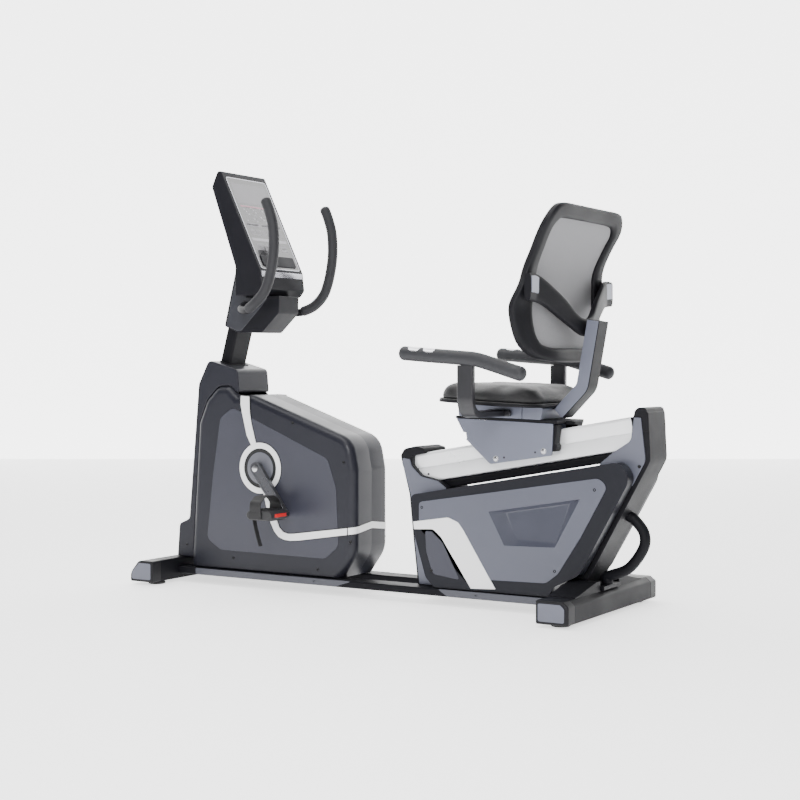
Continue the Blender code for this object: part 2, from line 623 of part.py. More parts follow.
mast_growth = MAST_LENGTH - DRAWN_MAST_LENGTH
mast_top = empty("mast_top", (mast_axis.x * mast_growth, 0.0, mast_axis.y * mast_growth), front_unit)
BAR_AT = Vector((-0.5445, 0.905))
mast_cover_outline = rounded([
    (-0.629, 0.846, 0.008), (-0.579, 1.042, 0.006), (-0.5370, 1.042, 0.004),
    (-0.5370, 0.9400, 0.002), (-0.408, 0.9400, 0.006), (-0.410, 0.885, 0.012),
    (-0.478, 0.822, 0.012), (-0.578, 0.824, 0.012)], 0.008)
mast_cover = plate("mast_cover", mast_cover_outline, "Y", -COVER_HALF_WIDTH, COVER_HALF_WIDTH,
                   "silver_panel", mast_top, bevel=0.007)
hollow = rounded([
    (-0.629 + WALL, 0.847), (-0.579 + WALL, 1.060), (-0.520, 1.060), (-0.5300, 0.975),
    (-0.5370 - WALL, 0.975), (-0.5370 - WALL, 0.9400 - WALL), (-0.408 - WALL, 0.9400 - WALL),
    (-0.410 - WALL, 0.885 + 0.001), (-0.478 - 0.001, 0.822 + WALL), (-0.578, 0.824 + WALL)], 0.003)
cut(mast_cover, plate("mast_cover_inside", hollow, "Y", -COVER_HALF_WIDTH + WALL,
                      COVER_HALF_WIDTH - WALL, "silver_panel", mast_top))
cut(mast_cover, plate("mast_cover_mouth", mast_slot, "Z", MAST_LENGTH - 0.325, MAST_LENGTH - 0.125,
                      "silver_panel", mast_seat))
cut(mast_cover, cylinder("bar_hole", BAR_AT, BAR_RADIUS + 0.003, -0.1, 0.1, "silver_panel",
                         mast_top))

console_outline = rounded([
    (-0.607, 1.345, 0.010), (-0.630, 1.296, 0.014), (-0.5352, 1.035, 0.016),
    (-0.5364, 0.9407, 0.004), (-0.447, 0.9407, 0.010), (-0.430, 0.962, 0.006),
    (-0.437, 1.020, 0.008), (-0.5935, 1.3455, 0.006)], 0.008)
console = plate("console_housing", console_outline, "Y", -CONSOLE_HALF_WIDTH, CONSOLE_HALF_WIDTH,
                "black_plastic", mast_top, bevel=0.005)
face_low = Vector((-0.4445, 1.0300))
face_high = Vector((-0.5890, 1.3310))
face_up = (face_high - face_low).normalized()
face_out = Vector((face_up.y, -face_up.x))
SCREEN_HALF_WIDTH = CONSOLE_HALF_WIDTH - 0.012
SCREEN_RECESS = 0.0035
screen_pocket = [face_low + face_out * 0.010, face_high + face_out * 0.010,
                 face_high - face_out * SCREEN_RECESS, face_low - face_out * SCREEN_RECESS]
cut(console, plate("screen_pocket", screen_pocket, "Y", -SCREEN_HALF_WIDTH, SCREEN_HALF_WIDTH,
                   "black_plastic", mast_top))
panel_low = face_low + face_up * GAP
panel_high = face_high - face_up * GAP
panel_outline = [panel_low, panel_high, panel_high - face_out * (SCREEN_RECESS - GAP),
                 panel_low - face_out * (SCREEN_RECESS - GAP)]
plate("console_screen", panel_outline, "Y", -SCREEN_HALF_WIDTH + GAP, SCREEN_HALF_WIDTH - GAP,
      "screen", mast_top)

half_bar = [(BAR_AT.x, 0.0, BAR_AT.y), (BAR_AT.x, 0.030, BAR_AT.y),
            (BAR_AT.x, COVER_HALF_WIDTH + 0.006, BAR_AT.y), (-0.516, 0.112, 0.897),
            (-0.466, 0.147, 0.893), (-0.425, HORN_HALF_SPREAD - 0.002, 0.912),
            (-0.388, HORN_HALF_SPREAD, 0.945), (-0.368, HORN_HALF_SPREAD, 0.985),
            (-0.354, HORN_HALF_SPREAD, 1.040), (-0.348, HORN_HALF_SPREAD, 1.095),
            (-0.352, HORN_HALF_SPREAD, 1.155), (-0.367, HORN_HALF_SPREAD, 1.205),
            (-0.384, HORN_HALF_SPREAD, 1.242)]
mirrored = [(x, -y, z) for x, y, z in half_bar[:0:-1]]
bar_path = smooth_path(mirrored + half_bar)
tube("handlebar", bar_path, BAR_RADIUS, "black_steel", mast_top, sides=2)
grip_bore = BAR_RADIUS / math.cos(math.pi / 8) + GAP    # clears the corners of an 8-sided bar
grip_points = len(bar_path) - 1 - 2 * 7
tube("handlebar_grip_right", bar_path[grip_points:], GRIP_RADIUS, "foam_grip", mast_top,
     bore=grip_bore, sides=2)
tube("handlebar_grip_left", bar_path[:len(bar_path) - grip_points], GRIP_RADIUS, "foam_grip",
     mast_top, bore=grip_bore, sides=2)


# Seat unit: post, rail and its support, housing shells and the lift handle

def on_rail(along, above=0.0):
    """The side-view place at a distance along the rail's top and square to it."""
    return Vector((RAIL_START_X + along * math.cos(RAIL_SLOPE) - above * math.sin(RAIL_SLOPE),
                   RAIL_START_TOP + along * math.sin(RAIL_SLOPE) + above * math.cos(RAIL_SLOPE)))


rail_start = on_rail(0.0)
rail = empty("rail_frame", (rail_start.x, 0.0, rail_start.y), None, -RAIL_SLOPE)

rail_section = rounded(box_outline(-RAIL_HALF_WIDTH, RAIL_HALF_WIDTH, -RAIL_HEIGHT, 0.0), 0.004, 2)
rail_bore = rounded(box_outline(-RAIL_HALF_WIDTH + RAIL_WALL, RAIL_HALF_WIDTH - RAIL_WALL,
                                -RAIL_HEIGHT + RAIL_WALL, -RAIL_WALL), 0.003, 2)
plate("seat_rail", rail_section, "X", 0.0, RAIL_LENGTH, "rail_aluminium", rail, hole=rail_bore)

support_top = -RAIL_HEIGHT - SUPPORT_DROP
support_low = support_top - SUPPORT_HEIGHT
support_section = rounded(box_outline(-SUPPORT_HALF_WIDTH, SUPPORT_HALF_WIDTH, support_low,
                                      support_top), 0.003, 2)
support_bore = rounded(box_outline(-SUPPORT_HALF_WIDTH + TUBE_WALL, SUPPORT_HALF_WIDTH - TUBE_WALL,
                                   support_low + TUBE_WALL, support_top - TUBE_WALL), 0.002, 2)
SUPPORT_START = 0.085
SUPPORT_END = RAIL_LENGTH - 0.060
plate("rail_support", support_section, "X", SUPPORT_START, SUPPORT_END, "black_steel", rail,
      hole=support_bore)

foot_z = REAR_BAR_TOP + GAP
POST_LOW = Vector((0.672, foot_z + POST_FLANGE))
POST_KNEE = Vector((0.872, 0.450))
post_normal = Vector((POST_KNEE.y - POST_LOW.y, POST_LOW.x - POST_KNEE.x)).normalized()


def post_face(z):
    """The place on the post's rear face at a height."""
    return POST_LOW + (POST_KNEE - POST_LOW) * ((z - POST_LOW.y) / (POST_KNEE.y - POST_LOW.y))


post_corners = [
    (0.640, foot_z), (POST_FLANGE_REAR, foot_z), (POST_FLANGE_REAR, foot_z + POST_FLANGE, 0.002),
    (*POST_LOW, 0.003), (*POST_KNEE, 0.040),
    (0.861, 0.597, 0.016), (0.826, 0.600, 0.016), (0.817, 0.572, 0.010), (0.811, 0.505, 0.020),
    (0.755, 0.468, 0.020), (0.718, 0.437, 0.020), (0.640, 0.280, 0.060), (0.608, 0.150, 0.030)]
rear_post = plate("rear_post", rounded(post_corners, 0.004), "Y", -POST_HALF_WIDTH, POST_HALF_WIDTH,
                  "silver_panel", bevel=0.004)
post_inside = inset(post_corners, POST_WALL)
post_inside[0] = (post_inside[0][0], foot_z - 0.010)
post_inside[1] = (post_inside[1][0], foot_z - 0.010)
cut(rear_post, plate("post_inside", post_inside, "Y", -POST_HALF_WIDTH + POST_WALL,
                     POST_HALF_WIDTH - POST_WALL, "silver_panel"))
socket = 0.0006
rail_pocket = box_outline(-RAIL_HALF_WIDTH - socket, RAIL_HALF_WIDTH + socket,
                          -RAIL_HEIGHT - socket, socket)
cut(rear_post, plate("rail_pocket", rail_pocket, "X", 0.3, RAIL_LENGTH + socket, "silver_panel",
                     rail))
support_pocket = box_outline(-SUPPORT_HALF_WIDTH - socket, SUPPORT_HALF_WIDTH + socket,
                             support_low - socket, support_top + 0.010)
cut(rear_post, plate("support_pocket", support_pocket, "X", 0.3, SUPPORT_END + socket,
                     "silver_panel", rail))

front_post_half = RAIL_HALF_WIDTH + 0.018
bracket_outline = rounded([
    (0.118, BEAM_TOP + GAP), (0.205, BEAM_TOP + GAP), (0.192, 0.075, 0.01), (0.156, 0.215, 0.03),
    (0.222, 0.347, 0.010), (0.189, 0.369, 0.020), (0.129, 0.381, 0.020), (0.098, 0.412, 0.010),
    (0.098, 0.441, 0.003), (0.142, 0.4505, 0.006), (0.138, 0.464, 0.008), (0.112, 0.471, 0.010),
    (0.068, 0.462, 0.016), (0.056, 0.440, 0.016), (0.088, 0.324, 0.030), (0.104, 0.170, 0.03)],
    0.004)
bracket = plate("rail_front_bracket", bracket_outline, "Y", -front_post_half, front_post_half,
                "silver_panel", bevel=0.004)
leg_inside = inset([(0.118, 0.030), (0.205, 0.030), (0.192, 0.075), (0.156, 0.215),
                    (0.200, 0.325), (0.092, 0.325), (0.104, 0.170)], POST_WALL)
cut(bracket, plate("leg_inside", leg_inside, "Y", -front_post_half + POST_WALL,
                   front_post_half - POST_WALL, "silver_panel"))
cut(bracket, plate("rail_front_pocket", rail_pocket, "X", -socket, 0.3, "silver_panel", rail))
cut(bracket, plate("support_front_pocket", support_pocket, "X", SUPPORT_START - socket, 0.3,
                   "silver_panel", rail))

rear_shell_outline = rounded([
    (0.226, 0.030, 0.0), (0.172, 0.080, 0.030), (0.128, 0.222, 0.030), (0.118, 0.326, 0.020),
    (0.800, 0.447, 0.050), (0.860, 0.395, 0.050), (0.795, 0.255, 0.080), (0.704, 0.112, 0.050),
    (0.600, 0.084, 0.020), (0.560, 0.030, 0.0)],
    0.02, 4)
for side_name, side in SIDES:
    near, far = side * (POST_HALF_WIDTH + 0.006), side * REAR_HALF_WIDTH
    half_shell(f"rear_shell_{side_name}", rear_shell_outline, near, far, 0.022, "grey_housing",
               None, SHELL_BOTTOM)

rear_trim_outline = [
    (0.152, 0.246), (0.250, 0.264), (0.282, 0.253), (0.300, 0.232), (0.404, 0.068),
    (0.330, 0.066), (0.235, 0.212), (0.222, 0.222), (0.200, 0.226), (0.155, 0.224)]
for side_name, side in SIDES:
    near, far = sorted((side * (REAR_HALF_WIDTH + GAP), side * (REAR_HALF_WIDTH + TRIM_THICKNESS)))
    plate(f"rear_trim_{side_name}", rear_trim_outline, "Y", near, far, "white_trim")

HANDLE_TOP = 0.286
handle_start = post_face(HANDLE_TOP) + post_normal * 0.001
handle_foot = Vector((POST_FLANGE_REAR - LOOP_RADIUS - 0.001, POST_LOW.y + GAP))
handle_bends = [*(tuple(handle_start + post_normal * out) for out in (0.008, 0.020)),
                (0.826, 0.240), (0.824, 0.196), (0.779, 0.136),
                *((handle_foot.x, handle_foot.y + up) for up in (0.020, 0.008))]
handle_path = [(handle_start.x, 0.0, handle_start.y), *[(x, 0.0, z) for x, z in handle_bends],
               (handle_foot.x, 0.0, handle_foot.y)]
tube("lift_handle", smooth_path(handle_path), LOOP_RADIUS, "black_steel", sides=2)


# Seat: carriage, base, cushion, arms, back post and back

SEAT_TILT = math.radians(2.5)
carriage_outline = rounded([
    (0.266, 0.5580), (0.298, 0.505), (0.382, 0.425), (0.580, 0.457), (0.596, 0.5480),
    (0.596, 0.5570), (0.266, 0.5670)], 0.004, 2)
inner_half = CARRIAGE_HALF_WIDTH - PLATE
carriage = plate("seat_carriage", carriage_outline, "Y", -CARRIAGE_HALF_WIDTH,
                 CARRIAGE_HALF_WIDTH, "silver_panel")
channel = [(0.200, 0.5600), (0.200, 0.380), (0.640, 0.380), (0.640, 0.5467)]
cut(carriage, plate("carriage_channel", channel, "Y", -inner_half, inner_half, "silver_panel"))

base_outline = rounded([(0.279, 0.5672), (0.276, 0.6015), (0.555, 0.594), (0.548, 0.5592)], 0.006)
plate("seat_base", base_outline, "Y", -SEAT_BASE_HALF_WIDTH, SEAT_BASE_HALF_WIDTH, "silver_panel",
      bevel=0.006)

seat_frame = empty("seat_frame", (0.395, 0.0, 0.6020), None, SEAT_TILT)
cushion_plan = rounded([(-0.180, -0.150, 0.09), (-0.180, 0.150, 0.09),
                        (0.030, CUSHION_HALF_WIDTH, 0.10), (0.175, CUSHION_HALF_WIDTH - 0.02, 0.08),
                        (0.175, -CUSHION_HALF_WIDTH + 0.02, 0.08), (0.030, -CUSHION_HALF_WIDTH, 0.10)],
                       0.08, 4)
plate("seat_cushion", cushion_plan, "Z", 0.0, 0.062, "seat_leather", seat_frame, bevel=0.016)

ARM_POST_LOW_X = 0.389
ARM_POST_HIGH_X = 0.439
arm_line = [(0.197, 0.752), (0.300, 0.744), (0.400, 0.737), (0.448, 0.732), (0.500, 0.718),
            (0.560, 0.700), (0.600, 0.688)]
arm_low_z = min(z for x, z in arm_line[2:4]) - ARM_RADIUS
for side_name, side in SIDES:
    grip_path = smooth_path([(x, side * ARM_SPREAD, z) for x, z in arm_line])
    tube(f"armrest_{side_name}", grip_path, ARM_RADIUS, "foam_grip", sides=3)
    spine = [(side * ARM_SPREAD, arm_low_z - 0.0005), (side * ARM_SPREAD, 0.610),
             (side * (ARM_SPREAD - 0.014), 0.586), (side * (ARM_SPREAD - 0.040), 0.577),
             (side * (SEAT_BASE_HALF_WIDTH + GAP), 0.577)]
    plate(f"armrest_bracket_{side_name}", band(spine, 0.020), "X", ARM_POST_LOW_X, ARM_POST_HIGH_X,
          "black_steel", bevel=0.003, segments=1)

post_spine = [(0.573, 0.577), (0.648, 0.654), (0.682, 0.845)]
plate("back_post", rounded([(*p, 0.010) for p in band(post_spine, 0.038)], 0.01), "Y",
      -BACK_POST_HALF_WIDTH, BACK_POST_HALF_WIDTH, "silver_panel", bevel=0.004)


# The back's side profile: the front face's x at each height

BACK_PROFILE = [(0.725, 0.583), (0.800, 0.572), (0.890, 0.562), (0.980, 0.560), (1.060, 0.592),
                (1.120, 0.624), (1.170, 0.642)]


def back_x(z):
    pairs = list(zip(BACK_PROFILE, BACK_PROFILE[1:]))
    for (low_z, low_x), (high_z, high_x) in pairs:
        if z <= high_z or high_z == BACK_PROFILE[-1][0]:
            return low_x + (high_x - low_x) * (z - low_z) / (high_z - low_z)
    return BACK_PROFILE[-1][1]


def wrap_back(shape):
    """Move a flat panel's points from x = 0 on to the back's side profile."""
    for vertex in shape.verts:
        vertex.co.x += back_x(vertex.co.z)


def mirrored_outline(half):
    """The outline of a right half, listed from bottom to top, and its mirror image."""
    return half + [(-u, v) for u, v in half[::-1]]


back_half = [(0.080, 0.725), (0.155, 0.735), (0.196, 0.765), (0.212, 0.800), (0.245, 0.850),
             (0.285, 0.885), (0.280, 0.915), (0.250, 0.950), (0.240, 0.985), (0.242, 1.030),
             (0.248, 1.080), (0.250, 1.115), (0.230, 1.150), (0.195, 1.168), (0.090, 1.170)]
window_half = [(0.070, 0.765), (0.120, 0.772), (0.150, 0.790), (0.165, 0.820), (0.180, 0.850),
               (0.196, 0.880), (0.202, 0.910), (0.198, 0.950), (0.194, 0.985), (0.197, 1.030),
               (0.203, 1.080), (0.204, 1.100), (0.190, 1.118), (0.165, 1.128), (0.080, 1.130)]
frame_shape = slab(mirrored_outline(back_half), "X", 0.0, BACK_THICKNESS,
                   hole=mirrored_outline(window_half))
wrap_back(frame_shape)
finish_mesh("back_frame", frame_shape, "black_plastic", None)

mesh_half = offset_path([(0.0, 0.765), *window_half, (0.0, 1.130)], 0.0015)[1:-1]
mesh_shape = bmesh.new()
rungs = [(mesh_shape.verts.new((0.010, -u, v)), mesh_shape.verts.new((0.010, u, v)))
         for u, v in mesh_half]
for (a, b), (c, d) in zip(rungs, rungs[1:]):
    mesh_shape.faces.new((a, b, d, c))
wrap_back(mesh_shape)
back_mesh = finish_mesh("back_mesh", mesh_shape, "back_mesh_cloth", None)
thicken(back_mesh, BACK_MESH_THICKNESS)

brace_half = [(0.0, 0.800), (0.034, 0.806), (0.120, 0.850), (0.205, 0.900), (0.250, 0.912),
              (0.268, 0.925), (0.240, 0.962), (0.190, 0.955), (0.110, 0.905), (0.050, 0.862),
              (0.0, 0.850)]
BRACE_THICKNESS = 0.020
brace_rear_x = 0.653
brace_wing_x = 0.5900
brace_outline = brace_half[1:] + [(-u, v) for u, v in brace_half[-2:0:-1]]
brace_shape = slab([brace_half[0], *brace_outline], "X", 0.0, BRACE_THICKNESS)
for vertex in brace_shape.verts:
    spread = min(abs(vertex.co.y) / 0.200, 1.0)
    vertex.co.x += (brace_rear_x - BRACE_THICKNESS) * (1 - spread) + brace_wing_x * spread
finish_mesh("back_brace", brace_shape, "black_plastic", None)


# Seat adjuster: a lever on the rider's right lifts the shoe that grips the rail

LEVER_X, LEVER_Z = 0.360, 0.5270
lever_out = CARRIAGE_HALF_WIDTH + 0.028
lever_axis = empty("lever_axis", (LEVER_X, 0.0, LEVER_Z))
lever_path = smooth_path([(0.0, -0.030, 0.0), (0.0, 0.040, 0.0), (0.0, CARRIAGE_HALF_WIDTH, 0.0),
                          (-0.004, lever_out - 0.012, 0.0), (-0.020, lever_out, 0.002),
                          (-0.060, lever_out + 0.003, 0.005), (-0.122, lever_out + 0.004, 0.008)])
tube("seat_lever", lever_path, LEVER_RADIUS, "machined_steel", lever_axis, sides=2)
cut(carriage, cylinder("lever_hole", (LEVER_X, LEVER_Z), LEVER_RADIUS + RUNNING + 0.0006,
                       CARRIAGE_HALF_WIDTH - 0.02, CARRIAGE_HALF_WIDTH + 0.02, "silver_panel",
                       steps=12))
shoe_along = (LEVER_X + 0.005 - RAIL_START_X) / math.cos(RAIL_SLOPE)
plate("lock_shoe", rounded(box_outline(shoe_along - 0.020, shoe_along + 0.020, 0.0005, 0.0170), 0.003),
      "Y", -0.024, 0.024, "rubber", rail)
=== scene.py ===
"""The looks of a recumbent exercise bike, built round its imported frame, in the order it is assembled."""

import json
import math

import bmesh
import bpy
from mathutils import Matrix, Vector, noise


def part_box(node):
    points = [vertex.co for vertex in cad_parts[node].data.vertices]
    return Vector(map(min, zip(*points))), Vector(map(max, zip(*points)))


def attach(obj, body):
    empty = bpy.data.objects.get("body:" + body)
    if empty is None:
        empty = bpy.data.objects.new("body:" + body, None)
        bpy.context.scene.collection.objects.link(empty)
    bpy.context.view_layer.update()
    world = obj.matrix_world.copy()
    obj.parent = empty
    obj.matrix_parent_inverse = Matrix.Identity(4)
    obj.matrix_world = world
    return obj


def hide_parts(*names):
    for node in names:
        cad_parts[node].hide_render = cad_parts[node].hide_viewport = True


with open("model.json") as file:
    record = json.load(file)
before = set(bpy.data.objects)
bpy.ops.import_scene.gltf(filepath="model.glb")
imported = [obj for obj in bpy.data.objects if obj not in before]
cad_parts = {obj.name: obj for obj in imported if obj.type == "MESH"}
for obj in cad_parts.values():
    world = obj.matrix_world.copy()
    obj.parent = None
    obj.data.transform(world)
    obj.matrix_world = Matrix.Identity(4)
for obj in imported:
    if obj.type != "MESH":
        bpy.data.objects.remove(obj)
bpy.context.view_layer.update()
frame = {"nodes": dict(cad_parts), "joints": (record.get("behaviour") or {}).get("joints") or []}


# ------------------------------------------------------------------ studio
# A pale floor under the bike, three soft boxes and a light sky. The camera stands at the rider's
# left, behind the middle, at about chest height.

CAMERA_PLACE = (2.499, -4.071, 0.715)
CAMERA_AZIMUTH = math.radians(31.4)
CAMERA_DIP = math.radians(1.28)
CAMERA_LENS = 69.06

camera_data = bpy.data.cameras.new("camera")
camera_data.lens = CAMERA_LENS
camera_data.sensor_width = 36.0
camera = bpy.data.objects.new("camera", camera_data)
camera.location = CAMERA_PLACE
camera.rotation_euler = (math.radians(90) - CAMERA_DIP, 0.0, CAMERA_AZIMUTH)
bpy.context.scene.collection.objects.link(camera)
bpy.context.scene.camera = camera


def soft_box(name, place, target, size, power):
    """An area light that faces a point."""
    data = bpy.data.lights.new(name, "AREA")
    data.shape = "RECTANGLE"
    data.size, data.size_y = size
    data.energy = power
    lamp = bpy.data.objects.new(name, data)
    lamp.location = place
    lamp.rotation_euler = (Vector(target) - Vector(place)).to_track_quat("-Z", "Y").to_euler()
    bpy.context.scene.collection.objects.link(lamp)


soft_box("overhead", (-0.4, -0.9, 3.2), (0.0, 0.0, 0.5), (3.4, 1.6), 80)
soft_box("side_key", (1.6, -3.6, 2.3), (0.3, 0.0, 0.4), (1.6, 1.6), 125)
soft_box("seat_side", (3.4, -1.2, 2.6), (0.5, 0.0, 0.6), (1.2, 1.6), 6)

sky = bpy.data.worlds.new("studio_sky")
sky.use_nodes = True
sky.node_tree.nodes["Background"].inputs["Color"].default_value = (1.0, 1.0, 1.0, 1.0)
sky.node_tree.nodes["Background"].inputs["Strength"].default_value = 0.20
bpy.context.scene.world = sky

floor_shape = bmesh.new()
bmesh.ops.create_grid(floor_shape, x_segments=1, y_segments=1, size=30.0)
floor_mesh = bpy.data.meshes.new("floor")
floor_shape.to_mesh(floor_mesh)
floor_shape.free()
studio_floor = bpy.data.objects.new("floor", floor_mesh)
bpy.context.scene.collection.objects.link(studio_floor)
floor_paint = bpy.data.materials.new("floor_paint")
floor_paint.use_nodes = True
floor_shader = floor_paint.node_tree.nodes["Principled BSDF"]
floor_shader.inputs["Base Color"].default_value = (0.9, 0.9, 0.9, 1)
floor_shader.inputs["Roughness"].default_value = 0.75
floor_shader.inputs["Emission Color"].default_value = (1.0, 1.0, 1.0, 1)
floor_shader.inputs["Emission Strength"].default_value = 1.40
floor_mesh.materials.append(floor_paint)

wall_paint = floor_paint.copy()
wall_paint.name = "wall_paint"
wall_paint.node_tree.nodes["Principled BSDF"].inputs["Emission Strength"].default_value = 3.40
wall_shape = bmesh.new()
bmesh.ops.create_grid(wall_shape, x_segments=1, y_segments=1, size=14.0)
bmesh.ops.transform(wall_shape, verts=wall_shape.verts,
                    matrix=Matrix.Rotation(CAMERA_AZIMUTH, 4, "Z") @ Matrix.Translation((0, 7, 0))
                    @ Matrix.Rotation(math.radians(90), 4, "X"))
wall_mesh = bpy.data.meshes.new("studio_wall")
wall_shape.to_mesh(wall_mesh)
wall_shape.free()
studio_wall = bpy.data.objects.new("studio_wall", wall_mesh)
bpy.context.scene.collection.objects.link(studio_wall)
wall_mesh.materials.append(wall_paint)


# ------------------------------------------------------------------ base beams and foot bars
# Two flat steel beams run the length of the bike and are welded to a foot bar at each end. All of
# it is powder coated near black, with a fine orange-peel in the coat.

SIDES = (("left", -1), ("right", 1))


def group_socket(group, name, direction, kind, value=None):
    socket = group.interface.new_socket(name=name, in_out=direction, socket_type=kind)
    if value is not None:
        socket.default_value = value
    return socket


def build_surface_grain():
    """Fine bumps, slow mottling and a light dust, all in object space."""
    group = bpy.data.node_groups.new("surface_grain", "ShaderNodeTree")
    group_socket(group, "Colour", "INPUT", "NodeSocketColor", (0.1, 0.1, 0.1, 1))
    group_socket(group, "Roughness", "INPUT", "NodeSocketFloat", 0.5)
    group_socket(group, "Grain Scale", "INPUT", "NodeSocketFloat", 900.0)
    group_socket(group, "Mottle", "INPUT", "NodeSocketFloat", 0.1)
    group_socket(group, "Dust", "INPUT", "NodeSocketFloat", 0.04)
    group_socket(group, "Colour", "OUTPUT", "NodeSocketColor")
    group_socket(group, "Roughness", "OUTPUT", "NodeSocketFloat")
    group_socket(group, "Height", "OUTPUT", "NodeSocketFloat")
    nodes, links = group.nodes, group.links
    inputs = nodes.new("NodeGroupInput")
    outputs = nodes.new("NodeGroupOutput")
    place = nodes.new("ShaderNodeTexCoord")

    def noise_of(scale_socket, detail, scale=None):
        texture = nodes.new("ShaderNodeTexNoise")
        texture.inputs["Detail"].default_value = detail
        links.new(place.outputs["Object"], texture.inputs["Vector"])
        if scale_socket is None:
            texture.inputs["Scale"].default_value = scale
        else:
            links.new(scale_socket, texture.inputs["Scale"])
        return texture

    fine = noise_of(inputs.outputs["Grain Scale"], 2.0)
    slow = noise_of(None, 3.0, 7.0)
    specks = noise_of(None, 4.0, 160.0)

    shift = nodes.new("ShaderNodeMapRange")
    shift.inputs["From Min"].default_value = 0.3
    shift.inputs["From Max"].default_value = 0.7
    shift.inputs["To Min"].default_value = -0.5
    shift.inputs["To Max"].default_value = 0.5
    links.new(slow.outputs["Fac"], shift.inputs["Value"])
    amount = nodes.new("ShaderNodeMath")
    amount.operation = "MULTIPLY_ADD"
    links.new(shift.outputs["Result"], amount.inputs[0])
    links.new(inputs.outputs["Mottle"], amount.inputs[1])
    amount.inputs[2].default_value = 1.0
    tone = nodes.new("ShaderNodeVectorMath")
    tone.operation = "SCALE"
    links.new(inputs.outputs["Colour"], tone.inputs[0])
    links.new(amount.outputs["Value"], tone.inputs["Scale"])

    geometry = nodes.new("ShaderNodeNewGeometry")
    parts = nodes.new("ShaderNodeSeparateXYZ")
    links.new(geometry.outputs["Normal"], parts.inputs["Vector"])
    upward = nodes.new("ShaderNodeMapRange")
    upward.inputs["From Min"].default_value = 0.35
    links.new(parts.outputs["Z"], upward.inputs["Value"])
    speckle = nodes.new("ShaderNodeMath")
    speckle.operation = "MULTIPLY"
    links.new(upward.outputs["Result"], speckle.inputs[0])
    links.new(specks.outputs["Fac"], speckle.inputs[1])
    dust = nodes.new("ShaderNodeMath")
    dust.operation = "MULTIPLY"
    links.new(speckle.outputs["Value"], dust.inputs[0])
    links.new(inputs.outputs["Dust"], dust.inputs[1])
    dusted = nodes.new("ShaderNodeMix")
    dusted.data_type = "RGBA"
    dusted.inputs["B"].default_value = (0.55, 0.54, 0.52, 1)
    links.new(dust.outputs["Value"], dusted.inputs["Factor"])
    links.new(tone.outputs["Vector"], dusted.inputs["A"])
    links.new(dusted.outputs["Result"], outputs.inputs["Colour"])

    rough = nodes.new("ShaderNodeMath")
    rough.operation = "MULTIPLY_ADD"
    rough.inputs[1].default_value = 0.12
    links.new(shift.outputs["Result"], rough.inputs[0])
    links.new(inputs.outputs["Roughness"], rough.inputs[2])
    dulled = nodes.new("ShaderNodeMath")
    dulled.operation = "ADD"
    links.new(rough.outputs["Value"], dulled.inputs[0])
    links.new(dust.outputs["Value"], dulled.inputs[1])
    links.new(dulled.outputs["Value"], outputs.inputs["Roughness"])
    links.new(fine.outputs["Fac"], outputs.inputs["Height"])
    return group


surface_grain = build_surface_grain()


def finish_of(name, colour, roughness, grain=900.0, bump=0.08, bump_depth=0.0003, mottle=0.12,
              dust=0.04, metallic=0.0, coat=0.0, coat_roughness=0.15, specular=0.5):
    """A moulded, painted or machined surface with its own grain. Returns the material."""
    material = bpy.data.materials.new(name)
    material.use_nodes = True
    nodes, links = material.node_tree.nodes, material.node_tree.links
    shader = nodes["Principled BSDF"]
    shader.inputs["Metallic"].default_value = metallic
    shader.inputs["Coat Weight"].default_value = coat
    shader.inputs["Coat Roughness"].default_value = coat_roughness
    shader.inputs["Specular IOR Level"].default_value = specular
    grained = nodes.new("ShaderNodeGroup")
    grained.name = "grain"
    grained.node_tree = surface_grain
    grained.inputs["Colour"].default_value = (*colour, 1)
    grained.inputs["Roughness"].default_value = roughness
    grained.inputs["Grain Scale"].default_value = grain
    grained.inputs["Mottle"].default_value = mottle
    grained.inputs["Dust"].default_value = dust
    relief = nodes.new("ShaderNodeBump")
    relief.name = "relief"
    relief.inputs["Strength"].default_value = bump
    relief.inputs["Distance"].default_value = bump_depth
    links.new(grained.outputs["Colour"], shader.inputs["Base Color"])
    links.new(grained.outputs["Roughness"], shader.inputs["Roughness"])
    links.new(grained.outputs["Height"], relief.inputs["Height"])
    links.new(relief.outputs["Normal"], shader.inputs["Normal"])
    return material


def dress(node, material):
    """A CAD node that is shown as it is gets its finish."""
    mesh = frame["nodes"][node].data
    mesh.materials.clear()
    mesh.materials.append(material)


def to_piece(name, shape, material, body, slot, *stands_for):
    """A finished bmesh as a piece that rides on a body and stands for CAD nodes."""
    mesh = bpy.data.meshes.new(name)
    shape.to_mesh(mesh)
    shape.free()
    mesh.materials.append(material)
    mesh.shade_smooth()
    mesh.set_sharp_from_angle(angle=math.radians(32))
    piece = bpy.data.objects.new(name, mesh)
    bpy.context.scene.collection.objects.link(piece)
    weigh = piece.modifiers.new("flat_faces", "WEIGHTED_NORMAL")
    weigh.keep_sharp = True
    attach(piece, body)
    if stands_for:
        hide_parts(*stands_for)
    return piece


def placed(u, v, axis, level):
    """A drawn point in space: the outline's plane is square to the axis."""
    return {"X": (level, u, v), "Y": (u, level, v), "Z": (u, v, level)}[axis]


def rounded(points, radius, steps=6):
    """The outline with its corners turned into arcs. A third number in a point is its own radius."""
    result = []
    for i, point in enumerate(points):
        corner = Vector(point[:2])
        before = Vector(points[i - 1][:2]) - corner
        after = Vector(points[(i + 1) % len(points)][:2]) - corner
        wanted = point[2] if len(point) > 2 else radius
        half_angle = before.angle(after) / 2
        reach = min(wanted / math.tan(half_angle), 0.49 * before.length, 0.49 * after.length)
        if reach < 0.0004 or half_angle > math.radians(88):
            result.append(tuple(corner))
            continue
        first = corner + before.normalized() * reach
        last = corner + after.normalized() * reach
        for step in range(steps + 1):
            t = step / steps
            result.append(tuple(first * (1 - t) ** 2 + corner * 2 * t * (1 - t) + last * t ** 2))
    return result


